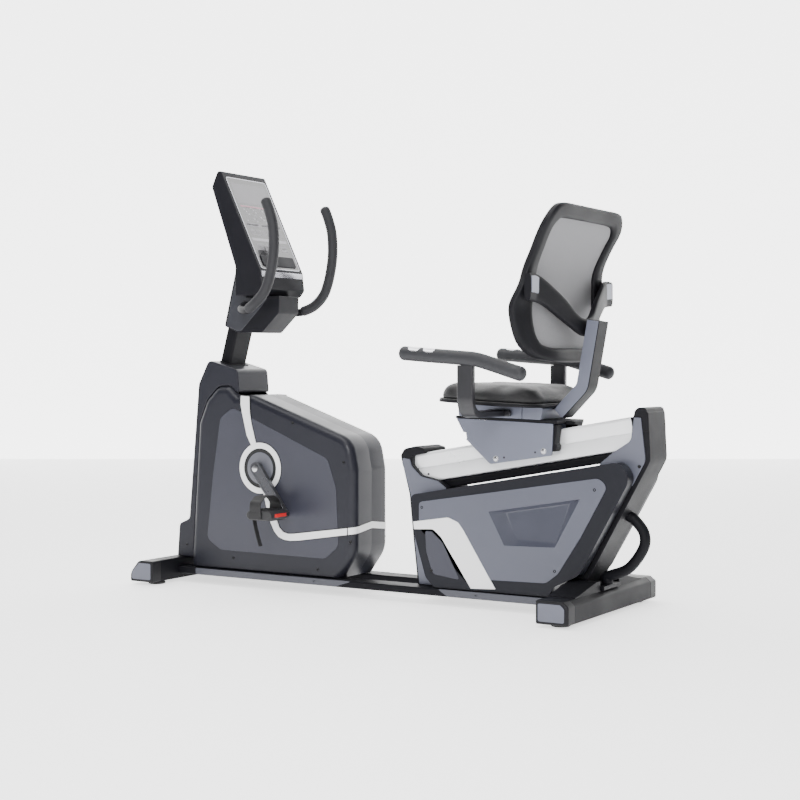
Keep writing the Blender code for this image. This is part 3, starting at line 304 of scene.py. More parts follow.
def slab(outline, axis, low, high):
    """A bmesh plate: one face of the outline, extruded from one level to the other."""
    shape = bmesh.new()
    face = shape.faces.new([shape.verts.new(placed(u, v, axis, low)) for u, v in outline])
    grown = bmesh.ops.extrude_face_region(shape, geom=[face])["geom"]
    lifted = [v for v in grown if isinstance(v, bmesh.types.BMVert)]
    bmesh.ops.translate(shape, vec=Vector(placed(0, 0, axis, high - low)), verts=lifted)
    bmesh.ops.recalc_face_normals(shape, faces=shape.faces)
    return shape


def level_edges(shape, axis, level):
    """The edges that lie in one level of a plate."""
    i = "XYZ".index(axis)
    return [e for e in shape.edges if all(abs(v.co[i] - level) < 1e-6 for v in e.verts)]


def soften(shape, edges, width, segments=3):
    bmesh.ops.bevel(shape, geom=edges, offset=width, segments=segments, profile=0.5,
                    affect="EDGES", clamp_overlap=True, material=-1)


def plate(outline, axis, low, high, rounding, segments=3):
    """A plate with both rims rounded."""
    shape = slab(outline, axis, low, high)
    soften(shape, level_edges(shape, axis, low) + level_edges(shape, axis, high), rounding, segments)
    return shape


def add_shape(shape, other):
    """The other bmesh's faces go into the first one."""
    scratch = bpy.data.meshes.new("scratch")
    other.to_mesh(scratch)
    other.free()
    shape.from_mesh(scratch)
    bpy.data.meshes.remove(scratch)
    return shape


black_coat = finish_of("black_powder_coat", (0.006, 0.006, 0.008), 0.50, grain=420, bump=0.16,
                       dust=0.005, specular=0.12)
cap_black = finish_of("end_cap_black", (0.009, 0.009, 0.011), 0.46, grain=900, bump=0.12,
                      dust=0.005, specular=0.2)
# Painted light: this slate stands for the lit outer faces of the black end caps.
lit_cap_face = finish_of("end_cap_lit_face", (0.110, 0.116, 0.150), 0.36, grain=900, bump=0.10)
sole_rubber = finish_of("sole_rubber", (0.016, 0.016, 0.017), 0.82, grain=1400, bump=0.3, dust=0.15)
for node in ("base_beam_left", "base_beam_right", "rail_support", "front_frame", "console_mast"):
    dress(node, black_coat)


def foot_bar(end_name, outline):
    """A foot bar and its two end caps, moulded with rounded noses and held by a screw."""
    bar_low, bar_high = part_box(f"{end_name}_foot_bar")
    bar = plate(outline, "Y", bar_low.y + 0.0006, bar_high.y - 0.0006, 0.0012, 2)
    to_piece(f"{end_name}_bar_tube", bar, black_coat, "base", "base_black",
             f"{end_name}_foot_bar")
    for side_name, side in SIDES:
        low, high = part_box(f"{end_name}_end_cap_{side_name}")
        outer = low.y if side < 0 else high.y
        inner = high.y if side < 0 else low.y
        cap = slab(outline, "Y", inner, outer)
        soften(cap, level_edges(cap, "Y", outer), 0.0045, 4)
        to_piece(f"{end_name}_cap_{side_name}", cap, cap_black, "base", "end_cap_grey",
                 f"{end_name}_end_cap_{side_name}")
        foot_low, foot_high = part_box(f"{end_name}_foot_{side_name}")
        centre = (foot_low + foot_high) / 2
        radius = (foot_high.x - foot_low.x) / 2
        foot = turned([(0.0, 0.0), (radius - 0.003, 0.0), (radius, 0.0025), (radius, 0.0055),
                       (radius - 0.002, 0.0078), (0.0065, 0.0082), (0.0065, foot_high.z),
                       (0.0, foot_high.z)], centre.xy, "Z", 40)
        to_piece(f"{end_name}_foot_pad_{side_name}", foot, sole_rubber, "base", "foot_rubber",
                 f"{end_name}_foot_{side_name}")


def turned(profile, centre, axis, steps, side=1):
    """A round piece: a profile of (radius, level) spun round a line along the axis."""
    shape = bmesh.new()
    line = Vector(placed(0, 0, axis, 1))
    out = Vector((1, 0, 0)) if axis != "X" else Vector((0, 1, 0))
    base = Vector(placed(centre[0], centre[1], axis, 0))
    verts = [shape.verts.new(base + out * r + line * level * side) for r, level in profile]
    edges = [shape.edges.new(pair) for pair in zip(verts, verts[1:])]
    bmesh.ops.spin(shape, geom=verts + edges, cent=base, axis=line, angle=math.tau, steps=steps,
                   use_merge=True)
    bmesh.ops.remove_doubles(shape, verts=shape.verts, dist=1e-6)
    bmesh.ops.recalc_face_normals(shape, faces=shape.faces)
    return shape


front_low, front_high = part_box("front_foot_bar")
rear_low, rear_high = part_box("rear_foot_bar")
foot_bar("front", rounded([
    (front_low.x, front_low.z, 0.007), (front_high.x, front_low.z, 0.004),
    (front_high.x, front_high.z, 0.008), (front_low.x + 0.034, front_high.z, 0.024),
    (front_low.x, front_high.z - 0.040, 0.034)], 0.006))
foot_bar("rear", rounded([
    (rear_low.x, rear_low.z, 0.006), (rear_high.x, rear_low.z, 0.006),
    (rear_high.x, rear_high.z - 0.014, 0.010), (rear_high.x - 0.018, rear_high.z, 0.012),
    (rear_low.x, rear_high.z, 0.006)], 0.006))
for side_name, side in SIDES:
    dress(f"transport_wheel_{side_name}", sole_rubber)


# ------------------------------------------------------------------ pedal unit inside
# The axle, pulley, belt and flywheel sit between the shells: ground steel, glass-filled nylon, a
# ribbed rubber belt and turned iron.

ground_steel = finish_of("ground_steel", (0.42, 0.42, 0.43), 0.30, grain=700, bump=0.05, metallic=1.0)
turned_iron = finish_of("turned_iron", (0.16, 0.16, 0.165), 0.45, grain=500, bump=0.2, metallic=1.0)
black_nylon = finish_of("black_nylon", (0.012, 0.012, 0.014), 0.48, grain=1100, bump=0.22,
                        dust=0.01, specular=0.25)
belt_rubber = finish_of("belt_rubber", (0.015, 0.015, 0.015), 0.75, grain=1300, bump=0.3)
for node, material in (("crank_axle", ground_steel), ("flywheel", turned_iron),
                       ("drive_pulley", black_nylon), ("drive_belt", belt_rubber),
                       ("lock_shoe", belt_rubber), ("seat_lever", black_coat)):
    dress(node, material)


# ------------------------------------------------------------------ front housing shells
# Two ABS mouldings meet along the bike's middle and close in the drive. Each has a broad rounded
# edge, a flat raised field on its side and a fine spark-eroded grain. The field's lighter tone is
# painted light on its flat face, against the darker roll of the edge.

shell_grey = finish_of("shell_slate", (0.014, 0.0145, 0.021), 0.34, grain=1500, bump=0.14,
                       mottle=0.10, specular=0.28)
# Painted light: the field's lighter colour stands for the light on its flat face.
lit_side_field = finish_of("slate_field_lit", (0.034, 0.035, 0.050), 0.36, grain=1500, bump=0.18,
                       mottle=0.10, specular=0.45)
# Painted shadow: this black stands for the shadow line round the white inlays and the shade in holes.
painted_shadow_black = finish_of("painted_shadow_black", (0.006, 0.006, 0.007), 0.65, grain=1200, bump=0.1, dust=0.0)
screw_black = finish_of("screw_black", (0.012, 0.012, 0.013), 0.30, grain=900, bump=0.05,
                        metallic=0.6)

SHELL_WALL = 0.003
FRONT_EDGE = 0.026
FIELD_RISE = 0.0014
shell_low, shell_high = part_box("front_shell_left")
FRONT_HALF = -shell_low.y
rear_x = shell_high.x
cover_low, cover_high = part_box("front_cover")

COVER_FLOOR = cover_low.z
cover_seam = [(-0.740, COVER_FLOOR), (-0.740, 0.103), (-0.711, 0.528, 0.06), (-0.678, 0.604, 0.05),
              (-0.632, 0.648, 0.04), (-0.583, 0.650, 0.03)]
cover_back = (-0.548, 0.618)
front_outline = rounded([
    (-0.7397, 0.030, 0.0), *[(p[0] + 0.0012, p[1] - 0.001, *p[2:]) for p in cover_seam[1:]],
    (cover_back[0] + 0.001, cover_back[1] - 0.001, 0.0), (-0.490, 0.622, 0.060),
    (-0.108, 0.486, 0.075), (rear_x, 0.390, 0.080), (rear_x, 0.130, 0.090), (-0.160, 0.030, 0.0)],
    0.02, 10)
front_field = rounded([
    (-0.561, 0.580), (-0.612, 0.545), (-0.641, 0.367), (-0.668, 0.147), (-0.612, 0.113),
    (-0.200, 0.110), (-0.149, 0.152), (-0.158, 0.332, 0.08), (-0.190, 0.424), (-0.300, 0.470, 0.05),
    (-0.494, 0.550)], 0.034, 8)


def moulded_shell(outline, inner, outer, rounding, floor_level, open_test):
    """Half a housing: a plate rounded on its outer rim, opened where it meets its other half."""
    shape = slab(outline, "Y", inner, outer)
    soften(shape, level_edges(shape, "Y", outer), rounding, 7)
    flat = [f for f in shape.faces if all(abs(v.co.y - inner) < 1e-6 for v in f.verts)]
    gone = flat + [f for f in shape.faces if f not in flat and open_test(f)]
    bmesh.ops.delete(shape, geom=gone, context="FACES")
    every = shape.verts[:] + shape.edges[:] + shape.faces[:]
    bmesh.ops.bisect_plane(shape, geom=every, plane_co=(0, 0, floor_level), plane_no=(0, 0, -1),
                           clear_outer=True)
    bmesh.ops.remove_doubles(shape, verts=shape.verts, dist=0.00005)
    return shape


def walled(piece, thickness):
    """Gives an open skin its wall, inwards."""
    wall = piece.modifiers.new("wall", "SOLIDIFY")
    wall.thickness = thickness
    wall.offset = -1.0
    wall.use_even_offset = True
    piece.modifiers.move(len(piece.modifiers) - 1, 0)
    return piece


def screw_head(centre, outer, side, radius=0.0042):
    """A countersunk hex screw in a small dished seat."""
    head = turned([(0.0, 0.0004), (radius * 0.45, 0.0004), (radius * 0.55, 0.0016),
                   (radius * 0.85, 0.0020), (radius, 0.0012), (radius, -0.001)],
                  centre, "Y", 20, side)
    bmesh.ops.translate(head, vec=(0, outer, 0), verts=head.verts)
    return head


front_screws = [(-0.323, 0.534), (-0.130, 0.415), (-0.105, 0.168), (-0.227, 0.075), (-0.560, 0.090)]
for side_name, side in SIDES:
    outer = side * FRONT_HALF
    inner = side * 0.00015

    def faces_cover(face):
        centre = face.calc_center_median()
        inside = abs(centre.y) < FRONT_HALF - FRONT_EDGE
        ahead = centre.x < -0.66 or (centre.z > 0.60 and centre.x < -0.5485)
        return inside and ahead and centre.z > 0.06

    shell = moulded_shell(front_outline, inner, outer, FRONT_EDGE, shell_low.z, faces_cover)
    piece = to_piece(f"front_housing_{side_name}", shell, shell_grey, "base", "housing_grey",
                     f"front_shell_{side_name}")
    walled(piece, SHELL_WALL)
    near, far = sorted((outer, outer + side * FIELD_RISE))
    field = slab(front_field, "Y", near, far)
    soften(field, level_edges(field, "Y", outer + side * FIELD_RISE), 0.0012, 3)
    to_piece(f"front_field_{side_name}", field, lit_side_field, "base", "housing_grey")
    screws = bmesh.new()
    for place in front_screws:
        add_shape(screws, screw_head(place, outer, side))
    to_piece(f"front_screws_{side_name}", screws, screw_black, "base", "housing_grey")


# ------------------------------------------------------------------ front cover
# One moulding wraps the neck and the front of the pedal unit and flares out over the foot bar. It
# clips to both shells along a curved seam.

COVER_HALF = cover_high.y
cover_outline = rounded([
    (-0.740, COVER_FLOOR, 0.0), (cover_low.x, COVER_FLOOR, 0.0), (-0.799, 0.188, 0.014),
    (-0.757, 0.207, 0.016), (-0.716, 0.655, 0.030), (-0.674, cover_high.z, 0.022),
    (-0.556, 0.702, 0.018), (*cover_back, 0.010), *cover_seam[:0:-1]], 0.01, 8)
cover = plate(cover_outline, "Y", -COVER_HALF, COVER_HALF, 0.013, 5)
seam_faces = [f for f in cover.faces if f.normal.x > 0.3 and f.calc_center_median().x < -0.63
              and abs(f.calc_center_median().y) < COVER_HALF - 0.013]
bmesh.ops.delete(cover, geom=seam_faces, context="FACES")
piece = to_piece("front_neck_cover", cover, shell_grey, "base", "housing_grey", "front_cover")
walled(piece, SHELL_WALL)
screws = bmesh.new()
for side_name, side in SIDES:
    for place in ((-0.727, 0.349), (-0.765, 0.120)):
        add_shape(screws, screw_head(place, side * COVER_HALF, side, 0.0036))
to_piece("neck_cover_screws", screws, screw_black, "base", "housing_grey")

collar = bmesh.new()
rim = rounded([(-0.026, -0.051), (0.026, -0.051), (0.026, 0.051), (-0.026, 0.051)], 0.011)
bore = rounded([(-0.0206, -0.0456), (0.0206, -0.0456), (0.0206, 0.0456), (-0.0206, 0.0456)], 0.008)
loops = []
for outline, level in ((rim, -0.006), (rim, 0.004), (bore, 0.004), (bore, -0.006)):
    loops.append([collar.verts.new((u, v, level)) for u, v in outline])
for loop in loops:
    for i, vert in enumerate(loop):
        collar.edges.new((loop[i - 1], vert))
for a, b in zip(loops, loops[1:] + loops[:1]):
    edges = [collar.edges.get((loop[i - 1], loop[i])) for loop in (a, b) for i in range(len(loop))]
    bmesh.ops.bridge_loops(collar, edges=edges)
bmesh.ops.recalc_face_normals(collar, faces=collar.faces)
MAST_LEAN = math.radians(15.5)
mast_at = Matrix.Translation((-0.6325, 0.0, 0.7215)) @ Matrix.Rotation(MAST_LEAN, 4, "Y")
bmesh.ops.transform(collar, matrix=mast_at, verts=collar.verts)
to_piece("mast_collar", collar, black_nylon, "base", "black_plastic")


# ------------------------------------------------------------------ white inlays
# A glossy white ring round the crank with one leg up to the neck and one swept back and round the
# rear edge. A thin black outline round it is painted shadow along its edge.

gloss_white = finish_of("gloss_white", (0.86, 0.86, 0.87), 0.16, grain=300, bump=0.02, mottle=0.02,
                        dust=0.02, coat=0.6, coat_roughness=0.06)
hub_grey = finish_of("hub_grey", (0.115, 0.118, 0.140), 0.42, grain=1300, bump=0.14)

crank_joint = next(j for j in frame["joints"] if j["name"] == "crank_spin")
CRANK = Vector((crank_joint["pos_m"][0], crank_joint["pos_m"][2]))
RING = CRANK.x - (-0.532)


def ring_arc(radius, start, end, steps):
    turns = [math.radians(start + (end - start) * i / steps) for i in range(steps + 1)]
    return [(CRANK.x + radius * math.cos(t), CRANK.y + radius * math.sin(t)) for t in turns]


def inset(outline, wall):
    """A counter-clockwise outline moved inwards by a wall, or outwards by a negative one."""
    moved = []
    count = len(outline)
    for i, point in enumerate(outline):
        corner = Vector(point)
        into = (corner - Vector(outline[i - 1])).normalized()
        out = (Vector(outline[(i + 1) % count]) - corner).normalized()
        along = (into + out).normalized()
        across = Vector((-along.y, along.x))
        mitre = max(across.dot(Vector((-into.y, into.x))), 0.5)
        moved.append(tuple(corner + across * (wall / mitre)))
    return moved


def filled(outer_loop, hole_loop, low, high, axis="Y"):
    """A plate with a hole, from two loops."""
    shape = bmesh.new()
    for loop in (outer_loop, hole_loop):
        verts = [shape.verts.new(placed(u, v, axis, low)) for u, v in loop]
        for i, vert in enumerate(verts):
            shape.edges.new((verts[i - 1], vert))
    bmesh.ops.triangle_fill(shape, use_beauty=True, use_dissolve=False, edges=shape.edges[:])
    grown = bmesh.ops.extrude_face_region(shape, geom=shape.faces[:])["geom"]
    lifted = [v for v in grown if isinstance(v, bmesh.types.BMVert)]
    bmesh.ops.translate(shape, vec=Vector(placed(0, 0, axis, high - low)), verts=lifted)
    bmesh.ops.recalc_face_normals(shape, faces=shape.faces)
    return shape


LEG_END_X = rear_x - FRONT_EDGE
inlay_outline = [
    (-0.5265, 0.618), (-0.5275, 0.592), (-0.521, 0.560), (-0.503, 0.490),
    *ring_arc(RING, 116.0, 279.0, 40),
    (-0.431, 0.284), (-0.424, 0.258), (-0.408, 0.212), (-0.394, 0.186), (-0.377, 0.169),
    (-0.355, 0.161), (-0.331, 0.159), (-0.298, 0.162), (LEG_END_X, 0.190), (LEG_END_X, 0.211),
    (-0.320, 0.182), (-0.341, 0.181), (-0.360, 0.186), (-0.374, 0.200), (-0.386, 0.226),
    (-0.402, 0.272), *ring_arc(RING, 297.0, 461.5, 40),
    (-0.472, 0.485), (-0.484, 0.528), (-0.4905, 0.560), (-0.493, 0.616)]
for side_name, side in SIDES:
    base_level = side * (FRONT_HALF + FIELD_RISE)
    near, far = sorted((side * (FRONT_HALF + 0.0002), base_level + side * 0.0006))
    # Painted shadow: a black outline just wider than the inlay, for the shadow line along its edge.
    shadow_strip = slab(inset(inlay_outline, -0.0026), "Y", near, far)
    to_piece(f"inlay_edge_shadow_{side_name}", shadow_strip, painted_shadow_black, "base", "housing_grey")
    near, far = sorted((base_level, base_level + side * 0.0022))
    inlay = filled(inlay_outline, ring_arc(0.0635, 360, 0, 64)[:-1], near, far)
    top_rim = [e for e in level_edges(inlay, "Y", base_level + side * 0.0022)
               if len(e.link_faces) == 2 and e.calc_face_angle(0) > 1.0]
    soften(inlay, top_rim, 0.0007, 2)
    to_piece(f"crank_inlay_{side_name}", inlay, gloss_white, "base", "white_trim",
             f"front_trim_{side_name}")
    disc = turned([(0.0, 0.0030), (0.020, 0.0030), (0.040, 0.0024), (0.0500, 0.0012),
                   (0.0530, -0.0004), (0.0530, -0.0010)], CRANK, "Y", 72, side)
    bmesh.ops.translate(disc, vec=(0, base_level, 0), verts=disc.verts)
    to_piece(f"hub_disc_{side_name}", disc, hub_grey, "base", "housing_grey")


def ribbon(stations, thickness):
    """A band through pairs of points, one below the other, given a thickness."""
    shape = bmesh.new()
    pairs = [(shape.verts.new(a), shape.verts.new(b)) for a, b in stations]
    for (a, b), (c, d) in zip(pairs, pairs[1:]):
        shape.faces.new((a, c, d, b))
    bmesh.ops.recalc_face_normals(shape, faces=shape.faces)
    bmesh.ops.solidify(shape, geom=shape.faces[:], thickness=thickness)
    bmesh.ops.recalc_face_normals(shape, faces=shape.faces)
    return shape


for side_name, side in SIDES:
    # The first band is painted shadow along the edges of the wrapped inlay.
    for name, proud, low_z, high_z, material in (
            ("inlay_wrap_shadow", 0.0005, 0.1875, 0.2135, painted_shadow_black),
            ("inlay_wrap", 0.0012, 0.190, 0.211, gloss_white)):
        corner = Vector((LEG_END_X, FRONT_HALF - FRONT_EDGE))
        reach = FRONT_EDGE + proud
        plan = [(LEG_END_X - 0.001, FRONT_HALF + proud)]
        plan += [(corner.x + reach * math.sin(math.radians(a)),
                  corner.y + reach * math.cos(math.radians(a))) for a in range(0, 91, 10)]
        plan += [(rear_x + proud, FRONT_HALF - FRONT_EDGE - 0.025), (rear_x + proud, 0.0002)]
        stations = []
        run = 0.0
        for i, (x, y) in enumerate(plan):
            if i:
                run += (Vector(plan[i]) - Vector(plan[i - 1])).length
            rise = run * 0.12
            stations.append(((x, side * y, low_z + rise), (x, side * y, high_z + rise)))
        wrap = ribbon(stations, 0.001)
        to_piece(f"{name}_{side_name}", wrap, material, "base", "white_trim")


# ------------------------------------------------------------------ crank arms and pedals
# Forged arms with a relieved web are bolted on the axle. Each pedal is a nylon platform with ribbed
# treads, red reflectors and a toe strap whose tail hangs free.

arm_steel = finish_of("arm_steel", (0.075, 0.076, 0.084), 0.30, grain=800, bump=0.06, metallic=0.7)
bolt_steel = finish_of("bolt_steel", (0.50, 0.50, 0.52), 0.25, grain=900, bump=0.04, metallic=1.0)
pedal_nylon = finish_of("pedal_nylon", (0.016, 0.016, 0.018), 0.50, grain=1200, bump=0.3)
strap_rubber = finish_of("strap_rubber", (0.012, 0.012, 0.013), 0.68, grain=1500, bump=0.3)
reflector_red = finish_of("reflector_red", (0.62, 0.016, 0.014), 0.12, grain=350, bump=0.5,
                          bump_depth=0.0006, mottle=0.3, coat=0.8, coat_roughness=0.04)
REFLECTOR_HALF = 0.030
REFLECTOR_RISE = 0.0055


def pull_loop(first, first_radius, second, second_radius, steps):
    """The outline of a band pulled tight round two circles."""
    away = Vector(second) - Vector(first)
    heading = math.atan2(away.y, away.x)
    spread = math.acos((first_radius - second_radius) / away.length)

    def part(centre, radius, start, end):
        turns = [start + (end - start) * i / steps for i in range(steps + 1)]
        return [(centre[0] + radius * math.cos(t), centre[1] + radius * math.sin(t)) for t in turns]

    return (part(first, first_radius, heading + spread, heading + math.tau - spread)
            + part(second, second_radius, heading - spread, heading + spread))


def band(path, width):
    """The outline of a strip of one width along a path, with mitred bends."""
    left, right = [], []
    centres = [Vector(p) for p in path]
    for i, centre in enumerate(centres):
        into = (centre - centres[i - 1]).normalized() if i else None
        out = (centres[i + 1] - centre).normalized() if i + 1 < len(centres) else into
        into = into or out
        along = (into + out).normalized()
        across = Vector((-along.y, along.x))
        reach = width / 2 / max(across.dot(Vector((-into.y, into.x))), 0.5)
        left.append(tuple(centre + across * reach))
        right.append(tuple(centre - across * reach))
    return left + right[::-1]


def smooth_line(points, steps=6):
    """A Catmull-Rom curve through the points."""
    knots = [Vector(p) for p in points]
    knots = [knots[0] * 2 - knots[1], *knots, knots[-1] * 2 - knots[-2]]
    path = []
    for a, b, c, d in zip(knots, knots[1:], knots[2:], knots[3:]):
        for step in range(steps):
            t = step / steps
            path.append(0.5 * (2 * b + (c - a) * t + (2 * a - 5 * b + 4 * c - d) * t * t
                               + (3 * b - a - 3 * c + d) * t ** 3))
    path.append(knots[-2])
    return path


for side_name, side in SIDES:
    low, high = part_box(f"crank_arm_{side_name}")
    pedal_joint = next(j for j in frame["joints"] if j["name"] == f"pedal_{side_name}_spin")
    spindle = Vector((pedal_joint["pos_m"][0], pedal_joint["pos_m"][2]))
    arm = plate(pull_loop(CRANK, 0.021, spindle, 0.016, 24), "Y", low.y, high.y, 0.0035, 4)
    outer = low.y if side < 0 else high.y
    web = [f for f in arm.faces if abs(f.normal.y) > 0.99
           and all(abs(v.co.y - outer) < 1e-6 for v in f.verts)]
    bmesh.ops.inset_region(arm, faces=web, thickness=0.0028, use_even_offset=True)
    bmesh.ops.inset_region(arm, faces=web, thickness=0.0016, depth=-0.0022, use_even_offset=True)
    to_piece(f"crank_lever_{side_name}", arm, arm_steel, "crank", "machined_steel",
             f"crank_arm_{side_name}")
    cap = turned([(0.0, 0.0022), (0.0085, 0.0022), (0.0105, 0.0010), (0.0110, -0.003)], CRANK, "Y",
                 36, side)
    bmesh.ops.translate(cap, vec=(0, outer, 0), verts=cap.verts)
    to_piece(f"crank_cap_{side_name}", cap, bolt_steel, "crank", "machined_steel")

    body = f"pedal_{side_name}"
    low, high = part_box(body)
    strap_low, strap_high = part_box(f"pedal_strap_{side_name}")
    tread_end = strap_low.y + 0.0035 if side < 0 else strap_high.y - 0.0035
    tread_start = strap_high.y - 0.0035 if side < 0 else strap_low.y + 0.0035
    near, far = sorted((tread_start, tread_end))
    half_long = (high.x - low.x) / 2
    half_thick = (high.z - low.z) / 2
    core = [(-half_long, -0.006), (-half_long + 0.012, -half_thick + 0.002),
            (half_long - 0.012, -half_thick + 0.002), (half_long, -0.006), (half_long, 0.006),
            (half_long - 0.012, half_thick - 0.002), (-half_long + 0.012, half_thick - 0.002),
            (-half_long, 0.006)]
    core = [(spindle.x + u, spindle.y + v) for u, v in rounded(core, 0.008, 5)]
    pedal = plate(core, "Y", near, far, 0.003, 3)
    for i in range(7):
        u = spindle.x + (i - 3) * 0.0105
        for top in (-1, 1):
            level = spindle.y + top * (half_thick - 0.0035)
            v_low, v_high = sorted((level, level + top * 0.0033))
            rib = plate([(u - 0.0022, v_low), (u + 0.0022, v_low), (u + 0.0022, v_high),
                         (u - 0.0022, v_high)], "Y", near + 0.010, far - 0.010, 0.0007, 1)
            add_shape(pedal, rib)
    spindle_part = turned([(0.0, 0.0), (0.0070, 0.0), (0.0070, 0.010), (0.0095, 0.012),
                           (0.0095, 0.022), (0.0, 0.022)], spindle, "Y", 30, side)
    start = high.y if side < 0 else low.y
    bmesh.ops.translate(spindle_part, vec=(0, start, 0), verts=spindle_part.verts)
    to_piece(f"pedal_spindle_{side_name}", spindle_part, bolt_steel, body, "machined_steel")
    to_piece(f"pedal_platform_{side_name}", pedal, pedal_nylon, body, "black_plastic", body)

    lens = bmesh.new()
    middle_y = (near + far) / 2
    for front in (-1, 1):
        x_low, x_high = sorted((spindle.x + front * (half_long - 0.001),
                                spindle.x + front * (half_long + 0.0012)))
        face = [(middle_y - REFLECTOR_HALF, spindle.y - REFLECTOR_RISE),
                (middle_y + REFLECTOR_HALF, spindle.y - REFLECTOR_RISE),
                (middle_y + REFLECTOR_HALF, spindle.y + REFLECTOR_RISE),
                (middle_y - REFLECTOR_HALF, spindle.y + REFLECTOR_RISE)]
        add_shape(lens, plate(face, "X", x_low, x_high, 0.0008, 2))
    y_low, y_high = sorted((tread_end - side * 0.001, tread_end + side * 0.0016))
    u = spindle.x - half_long + 0.021
    window = rounded([(u - 0.010, spindle.y - 0.0085), (u + 0.012, spindle.y - 0.0085),
                      (u + 0.010, spindle.y + 0.0095), (u - 0.008, spindle.y + 0.0095)], 0.003, 4)
    add_shape(lens, plate(window, "Y", y_low, y_high, 0.0008, 2))
    to_piece(f"pedal_reflector_{side_name}", lens, reflector_red, body, "black_plastic")

    wide_low, wide_high = strap_low.x + 0.004, strap_high.x - 0.004
    top = strap_high.z - 0.0013
    reach_in = strap_high.y - 0.0013 if side < 0 else strap_low.y + 0.0013
    reach_out = strap_low.y + 0.0013 if side < 0 else strap_high.y - 0.0013
    lean = side * 0.012
    route = [(reach_in, spindle.y + 0.0115), (reach_in, spindle.y + 0.034),
             (reach_in + lean, top - 0.010), (reach_in + 2.6 * lean, top),
             (reach_out - 2.6 * lean, top), (reach_out - lean, top - 0.010),
             (reach_out, spindle.y + 0.034), (reach_out, strap_low.z)]
    line = [(p.x, p.y) for p in smooth_line(route, 6)]
    strap = plate(band(line, 0.0024), "X", wide_low, wide_high, 0.0007, 2)
    for i in range(5):
        hole_y = reach_in + side * (0.034 + 0.009 * i)
        stud = turned([(0.0, 0.0008), (0.0016, 0.0008), (0.0022, 0.0)],
                      ((wide_low + wide_high) / 2, hole_y), "Z", 10)
        bmesh.ops.translate(stud, vec=(0, 0, strap_high.z - 0.0002), verts=stud.verts)
        add_shape(strap, stud)
    buckle_y = sorted((reach_out - side * 0.001, reach_out + side * 0.0030))
    buckle = [(wide_low - 0.002, spindle.y - 0.011), (wide_high + 0.002, spindle.y - 0.011),
              (wide_high + 0.002, spindle.y + 0.010), (wide_low - 0.002, spindle.y + 0.010)]
    add_shape(strap, plate(buckle, "Y", *buckle_y, 0.001, 2))
    to_piece(f"toe_strap_{side_name}", strap, strap_rubber, body, "belt_rubber",
             f"pedal_strap_{side_name}")
    tail_line = [(spindle.x - 0.034, spindle.y - half_thick + 0.003),
                 (spindle.x - 0.030, spindle.y - 0.034), (spindle.x - 0.022, spindle.y - 0.062),
                 (spindle.x - 0.010, spindle.y - 0.098)]
    tail_line = [(p.x, p.y) for p in smooth_line(tail_line, 5)]
    tail_y = sorted((tread_end - side * 0.014, tread_end - side * 0.032))
    tail = plate(band(tail_line, 0.0022), "Y", *tail_y, 0.0006, 2)
    to_piece(f"strap_tail_{side_name}", tail, strap_rubber, body, "belt_rubber")


# ------------------------------------------------------------------ rail, post and front bracket
# A bright extruded rail slopes up to the rear; its near-white tone is a painted highlight on the
# silver metal. It sits in a folded bracket in front and in the rear post, each with a black moulded
# cap. Their lighter grey sides are painted light and their black cores, seen at the end faces, are
# painted shade.

# Painted light: this lighter grey stands for the lit sides of the rear post and the front bracket.
lit_side_grey = finish_of("lit_side_grey", (0.112, 0.118, 0.152), 0.34, grain=1800, bump=0.08,
                        mottle=0.08, metallic=0.35, coat=0.15)
# Black mouldings; also painted shade on the cores of the posts and the bracket.
moulded_black_and_shade = finish_of("moulded_black_and_shade", (0.007, 0.007, 0.009), 0.50, grain=1300, bump=0.24,
                      dust=0.005, specular=0.14)


def build_brushed_rail():
    """Extruded aluminium: fine draw lines along the rail. Its near-white colour is a painted highlight."""
    material = finish_of("aluminium_painted_highlight", (0.90, 0.91, 0.93), 0.30, grain=600, bump=0.04,
                         mottle=0.05, dust=0.0, metallic=0.30)
    nodes, links = material.node_tree.nodes, material.node_tree.links
    place = nodes.new("ShaderNodeTexCoord")
    stretch = nodes.new("ShaderNodeMapping")
    stretch.inputs["Rotation"].default_value = (0.0, RAIL_SLOPE, 0.0)
    stretch.inputs["Scale"].default_value = (4.0, 1400.0, 1400.0)
    lines = nodes.new("ShaderNodeTexNoise")
    lines.inputs["Scale"].default_value = 1.0
    lines.inputs["Detail"].default_value = 2.0
    links.new(place.outputs["Object"], stretch.inputs["Vector"])
    links.new(stretch.outputs["Vector"], lines.inputs["Vector"])
    links.new(lines.outputs["Fac"], nodes["relief"].inputs["Height"])
    return material


slide_joint = next(j for j in frame["joints"] if j["name"] == "seat_slide")
rail_way = Vector(slide_joint["axis"])
RAIL_SLOPE = math.atan2(rail_way.z, rail_way.x)
aluminium_painted_highlight = build_brushed_rail()
rail_low, rail_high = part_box("seat_rail")
RAIL_HALF = rail_high.y
RAIL_TALL = 0.090
rail_top_start = Vector((rail_low.x, 0.0, rail_low.z + RAIL_TALL * math.cos(RAIL_SLOPE)))
rail_length = (rail_high.x - rail_low.x - RAIL_TALL * math.sin(RAIL_SLOPE)) / math.cos(RAIL_SLOPE)
rail_place = Matrix.Translation(rail_top_start) @ Matrix.Rotation(-RAIL_SLOPE, 4, "Y")
half_section = [
    (-RAIL_HALF + 0.004, 0.0), (-RAIL_HALF, -0.003), (-RAIL_HALF, -0.0115),
    (-RAIL_HALF + 0.0012, -0.0125), (-RAIL_HALF + 0.0012, -0.043), (-RAIL_HALF + 0.0050, -0.0438),
    (-RAIL_HALF + 0.0050, -0.0462), (-RAIL_HALF + 0.0008, -0.0470), (-RAIL_HALF + 0.0008, -0.086),
    (-RAIL_HALF + 0.004, -RAIL_TALL)]
rail_section = half_section[::-1] + [(-u, v) for u, v in half_section]
rail_body = slab(rail_section[::-1], "X", 0.0, rail_length)
